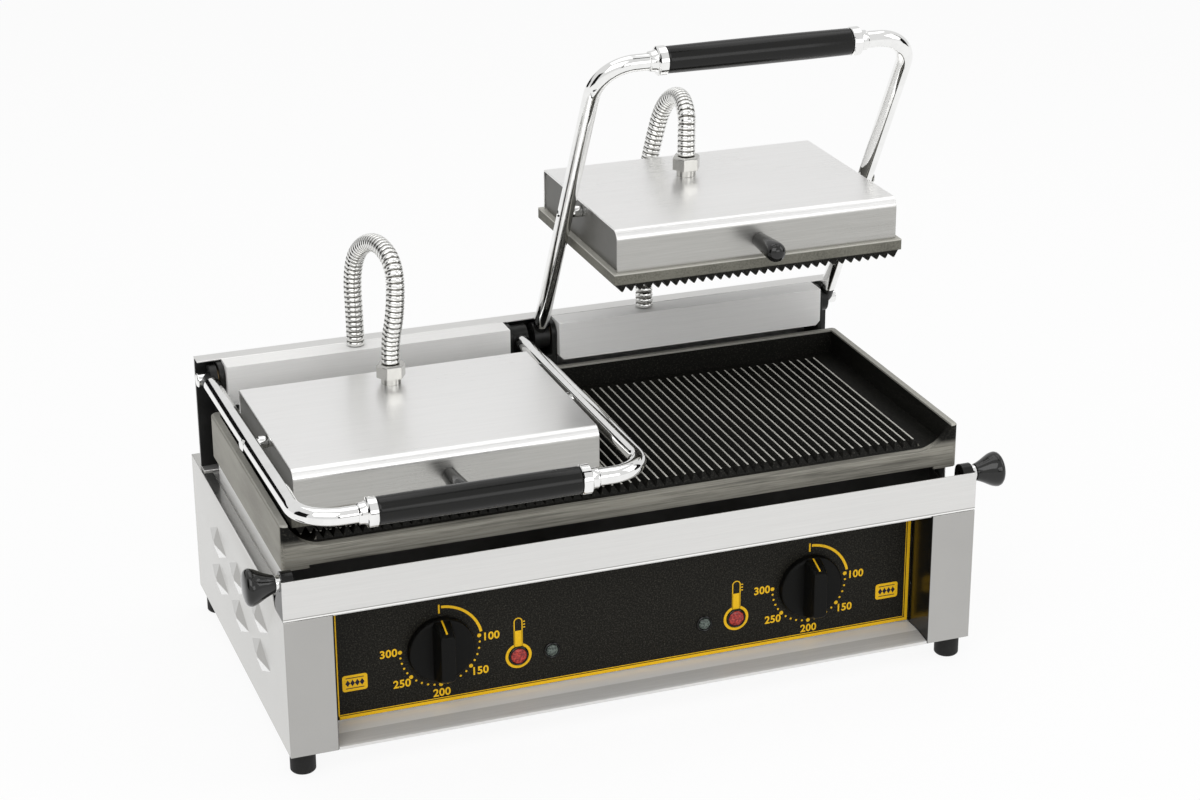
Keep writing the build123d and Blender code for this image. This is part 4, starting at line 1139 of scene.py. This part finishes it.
for side in ("left", "right"):
    dressed(f"{side}_handle_bar", chrome, 0, smooth=40)
    dressed(f"{side}_hinge_shaft", chrome, 0.3 * MM)
    dressed(f"{side}_hubs", bracket_paint, 0.5 * MM)

    # Pivot pins: riveted flush on the outer side of the handle's arms.
    low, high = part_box(f"{side}_pivot_pins")
    middle = (low + high) / 2
    form = merged(f"{side}_pivot_pins")
    bar_low, bar_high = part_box(f"{side}_handle_bar")
    flush = (bar_high.x - bar_low.x) / 2 + 0.2 * MM
    for vertex in form.verts:
        reach = vertex.co.x - middle.x
        if abs(reach) > flush:
            vertex.co.x = middle.x + math.copysign(flush, reach)
            vertex.co.y = middle.y + (vertex.co.y - middle.y) * RIVET_SHARE
            vertex.co.z = middle.z + (vertex.co.z - middle.z) * RIVET_SHARE
    bmesh.ops.remove_doubles(form, verts=form.verts, dist=1e-5)
    pins = link(f"{side}_pivot_pins_riveted", mesh_from(form, "pivot_pins"), chrome)
    worn_by(pins, f"{side}_pivot_pins")

    dressed(f"{side}_lid_cover", lid_steel(side), 0.25 * MM)
    dressed(f"{side}_lid_side_plates", lid_end_paint, 0.3 * MM)
    dressed(f"{side}_upper_plate", upper_iron(side), 0.3 * MM)
    dressed(f"{side}_upper_element", rod_sheath, 0, smooth=60)
    dressed(f"{side}_insulation", board, 0)
    dressed(f"{side}_gland", nickel, 0.4 * MM, 3)

    # Grip: a barrel with soft ends between two turned collars.
    low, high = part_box(f"{side}_grip")
    centre = (low + high) / 2
    half = (high.x - low.x) / 2 / MM
    radius = (high.z - low.z) / 2 / MM
    profile = [(-half, TUBE), (-half, radius - 2.0)]
    profile += arc_profile((-half, radius - 2.0), (-half + 2.0, radius - 0.35), 0)[1:]
    profile += [(-half / 2, radius - 0.05), (0, radius), (half / 2, radius - 0.05)]
    profile += arc_profile((half - 2.0, radius - 0.35), (half, radius - 2.0), 1)
    profile.append((half, TUBE))
    form = lathe(bmesh.new(), profile, centre, (1, 0, 0), 56)
    worn_by(link(f"{side}_grip_barrel", mesh_from(form, "grip"), phenolic), f"{side}_grip")

    low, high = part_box(f"{side}_collars")
    reach = (high.x - low.x) / 2 / MM
    radius = (high.z - low.z) / 2 / MM
    form = bmesh.new()
    for way in (-1, 1):
        start = (low.x + high.x) / 2 + way * half * MM
        length = reach - half
        lathe(
            form,
            [
                (0, TUBE),
                (0, radius - 0.7),
                (0.7, radius),
                (7.2, radius),
                (7.9, radius - 0.7),
                (8.6, radius - 2.6),
                (10.4, radius - 3.4),
                (length - 1.0, radius - 3.7),
                (length, radius - 4.6),
                (length, TUBE),
            ],
            (start, (low.y + high.y) / 2, (low.z + high.z) / 2),
            (way, 0, 0),
            56,
        )
    worn_by(link(f"{side}_collars_turned", mesh_from(form, "collars"), chrome), f"{side}_collars")

    # Lid knob: a black barrel that stands forward, with a domed end.
    low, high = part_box(f"{side}_lid_knob")
    radius = (high.z - low.z) / 2 / MM
    length = (high.y - low.y) / MM
    dome = 8.0
    profile = [(0, 0), (0, 6.0), (0.6, 6.5), (length * 0.3, 7.2), (length * 0.6, radius - 0.4)]
    profile.append((length - dome, radius))
    for a in (0.3, 0.6, 0.9, 1.15, 1.35):
        profile.append((length - dome + dome * math.sin(a), radius * math.cos(a) ** 0.8))
    profile.append((length, 0))
    centre = ((low.x + high.x) / 2, high.y, (low.z + high.z) / 2)
    form = lathe(bmesh.new(), profile, centre, (0, -1, 0), 48)
    knob = link(f"{side}_lid_knob_turned", mesh_from(form, "lid_knob"), polished_black)
    worn_by(knob, f"{side}_lid_knob")

# ---------------------------------------------------------------- conduits

# The ferrules are slim cores here, and the ribs run down over them to the housing.
FERRULE_RADIUS = 7.0
CORE_RADIUS = 5.9
CORE_DEPTH = 14.9
ferrule_low, ferrule_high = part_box("conduit_ferrules")
to_middle = mm(FERRULE_RADIUS, FERRULE_RADIUS, 0)
FEET = (ferrule_low + to_middle, ferrule_high - to_middle)
for foot in FEET:
    foot.z = ferrule_high.z + 0.1 * MM
form = bmesh.new()
for foot in FEET:
    core = [(0, 0), (0, CORE_RADIUS), (-CORE_DEPTH, CORE_RADIUS), (-CORE_DEPTH, 0)]
    lathe(form, core, foot, (0, 0, 1), 28)
cores = link("conduit_ferrule_cores", mesh_from(form, "conduit_ferrules"), hose_steel)
worn_by(cores, "conduit_ferrules")

# Each route in mm from the ferrule's face: how far across, back and above.
ROUTES = {
    "left": (
        (0, 0, -CORE_DEPTH),
        (0, 0, 10),
        (-1, 0, 50),
        (3, -11, 78),
        (10, -48, 95),
        (13, -92, 86),
        (10, -97, 46),
        (7, -87.5, 17),
        (7, -87.5, -0.7),
    ),
    "right": (
        (0, 0, -CORE_DEPTH),
        (0, 0, 12),
        (8, 30, 46),
        (16, 44, 78),
        (24, 43, 120),
        (31, 34, 162),
        (34, 2, 180),
        (27, -34, 172),
        (25, -37.1, 152),
        (25, -37.1, 134.7),
    ),
}
RIB_PITCH = 4.6  # mm, as the radii
RINGS_PER_RIB = 6
VALLEY = 6.5  # the radius between two ribs
CREST = 8.0
MEETING = 0.28  # where the halves meet, as a share of the length
for side, foot in zip(("left", "right"), FEET):
    route = [foot + mm(*step) for step in ROUTES[side]]
    line = line_points(route)
    length = sum((b - a).length for a, b in zip(line, line[1:]))
    ribs = round(length / (RIB_PITCH * MM))
    rings = ribs * RINGS_PER_RIB + 1
    # The halves meet low on the rise, near the hinge, where the handle hardly moves them.
    cut = round(ribs * MEETING) * RINGS_PER_RIB
    passed = 0.0
    for start, meeting in zip(line, line[1:]):
        passed += (meeting - start).length
        if passed >= length * cut / (rings - 1):
            break
    for part, first, last, bodies, ends in (
        ("rise", 0, cut, ("base", f"{side}_arm"), (line[0], meeting)),
        ("fall", cut, rings - 1, (f"{side}_arm", f"{side}_lid"), (meeting, line[-1])),
    ):
        piece = sleeve_tree.grow(
            route_curve(f"{side}_conduit_{part}", route),
            {
                "Rings": rings,
                "Rings per rib": RINGS_PER_RIB,
                "Valley": VALLEY * MM,
                "Crest": CREST * MM,
                "First": first,
                "Last": last,
                "Finish": hose_steel.material,
            },
        )
        piece.data.shade_smooth()
        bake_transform(piece)
        if part == "rise":
            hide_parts(f"{side}_conduit")

# ---------------------------------------------------------------- small fasteners

screw_profile = [(-1.0, 0.0), (-1.0, 1.6), (0.0, 1.6), (0.0, 3.2), (0.5, 3.2)]
screw_profile += [(1.2, 2.7), (1.7, 1.7), (1.2, 1.2), (1.2, 0.0)]
form = lathe(bmesh.new(), screw_profile, (0, 0, 0), (0, 0, 1), 16)
screw = link("screw_pattern", mesh_from(form, "screw"), chrome)
back_low, back_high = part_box("back_panel")
rear_low, rear_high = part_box("housing_back")
spots = []
for x in (-0.27, -0.14, 0.0, 0.14, 0.27):
    spots += [(x, back_high.y, back_low.z + 8 * MM), (x, back_high.y, back_high.z - 8 * MM)]
for x in (-0.285, -0.15, 0.0, 0.15, 0.285):
    spots += [(x, rear_high.y, rear_low.z + 14 * MM), (x, rear_high.y, rear_high.z - 12 * MM)]
places = [(Vector(spot), Vector((0, 1, 0))) for spot in spots]
screws = spread("casing_screws", screw, places, chrome)
bpy.data.objects.remove(screw)
carried(screws, "base")

# ---------------------------------------------------------------- stage and light


def staged(name, corners, material):
    """A flat card of the stage, which is no part of the object."""
    mesh = bpy.data.meshes.new(name)
    mesh.from_pydata(corners, [], [tuple(range(len(corners)))])
    mesh.materials.append(material)
    made = stand(name, mesh)
    return made


def with_white(shading, lit, white_kind, share):
    """Plain white mixed in for rays from the camera, mirrors and glass."""
    white = shading.node(white_kind, None, {"Strength": 1.0})
    seen = shading.node("ShaderNodeLightPath", output="Is Camera Ray")
    for kind in ("Is Glossy Ray", "Is Transmission Ray"):
        other = shading.node("ShaderNodeLightPath", output=kind)
        seen = shading.node("ShaderNodeMath", {"operation": "MAXIMUM"}, {0: seen, 1: other})
    return shading.node("ShaderNodeMixShader", None, {0: seen * share, 1: lit, 2: white})


def plain_material(name, colour, white_share):
    """Matt colour, with a share of plain white for the rays that with_white names."""
    made = bpy.data.materials.new(name)
    made.use_nodes = True
    shading = Nodes(made.node_tree)
    shading.tree.nodes.clear()
    lit = shading.node("ShaderNodeBsdfDiffuse", None, {"Color": colour})
    if white_share:
        lit = with_white(shading, lit, "ShaderNodeEmission", white_share)
    shading.node("ShaderNodeOutputMaterial", None, {"Surface": lit})
    return made


staged(
    "floor",
    [(-12, -12, 0), (12, -12, 0), (12, 12, 0), (-12, 12, 0)],
    plain_material("pale_floor", rgb(0.90, 0.90, 0.90), 0.90),
)

# Black flags draw the dark lines along the chrome.
flag_black = plain_material("flag_black", rgb(0.01, 0.01, 0.01), 0)


def flag(name, corners):
    """A black card that shows in reflections alone."""
    card = staged(name, corners, flag_black)
    card.visible_camera = False
    card.visible_diffuse = False
    card.visible_shadow = False
    card.visible_transmission = False


flag("left_flag", [(-2.6, -0.9, 0.0), (-2.6, 0.5, 0.0), (-2.6, 0.5, 1.9), (-2.6, -0.9, 1.9)])
flag("right_flag", [(2.6, 0.2, 0.1), (2.6, -0.9, 0.1), (2.6, -0.9, 2.2), (2.6, 0.2, 2.2)])
flag("front_flag", [(-0.4, -3.2, 0.3), (0.5, -3.2, 0.3), (0.5, -3.2, 1.2), (-0.4, -3.2, 1.2)])
flag("back_flag", [(-4.2, 3.2, 0.3), (-0.7, 3.2, 0.3), (-0.7, 3.2, 1.35), (-4.2, 3.2, 1.35)])
flag("top_flag", [(0.5, -1.0, 2.9), (0.9, -1.0, 2.9), (0.9, 1.6, 2.9), (0.5, 1.6, 2.9)])

world = bpy.data.worlds.new("studio")
bpy.context.scene.world = world
world.use_nodes = True
surround = Nodes(world.node_tree)
surround.tree.nodes.clear()
fill = surround.node("ShaderNodeBackground", None, {"Strength": 0.72})
surround.node(
    "ShaderNodeOutputWorld", None, {"Surface": with_white(surround, fill, "ShaderNodeBackground", 1.0)}
)


def softbox(name, position, target, size, power):
    """A rectangular lamp turned to a target."""
    lamp = bpy.data.lights.new(name, "AREA")
    lamp.shape = "RECTANGLE"
    lamp.size, lamp.size_y = size
    lamp.energy = power
    made = stand(name, lamp)
    made.location = position
    made.rotation_euler = (Vector(target) - Vector(position)).to_track_quat("-Z", "Y").to_euler()


softbox("key_softbox", (-1.3, -1.7, 2.3), (0, 0, 0.2), (2.4, 1.9), 27)
softbox("front_softbox", (0.6, -2.5, 1.0), (0.1, 0, 0.2), (1.6, 1.0), 8)
softbox("side_softbox", (2.2, -0.8, 1.5), (0, 0, 0.2), (1.5, 1.5), 10)
softbox("top_softbox", (0.2, 0.6, 2.6), (0, 0, 0.2), (2.6, 1.8), 14)

bpy.context.scene.view_settings.view_transform = "Standard"
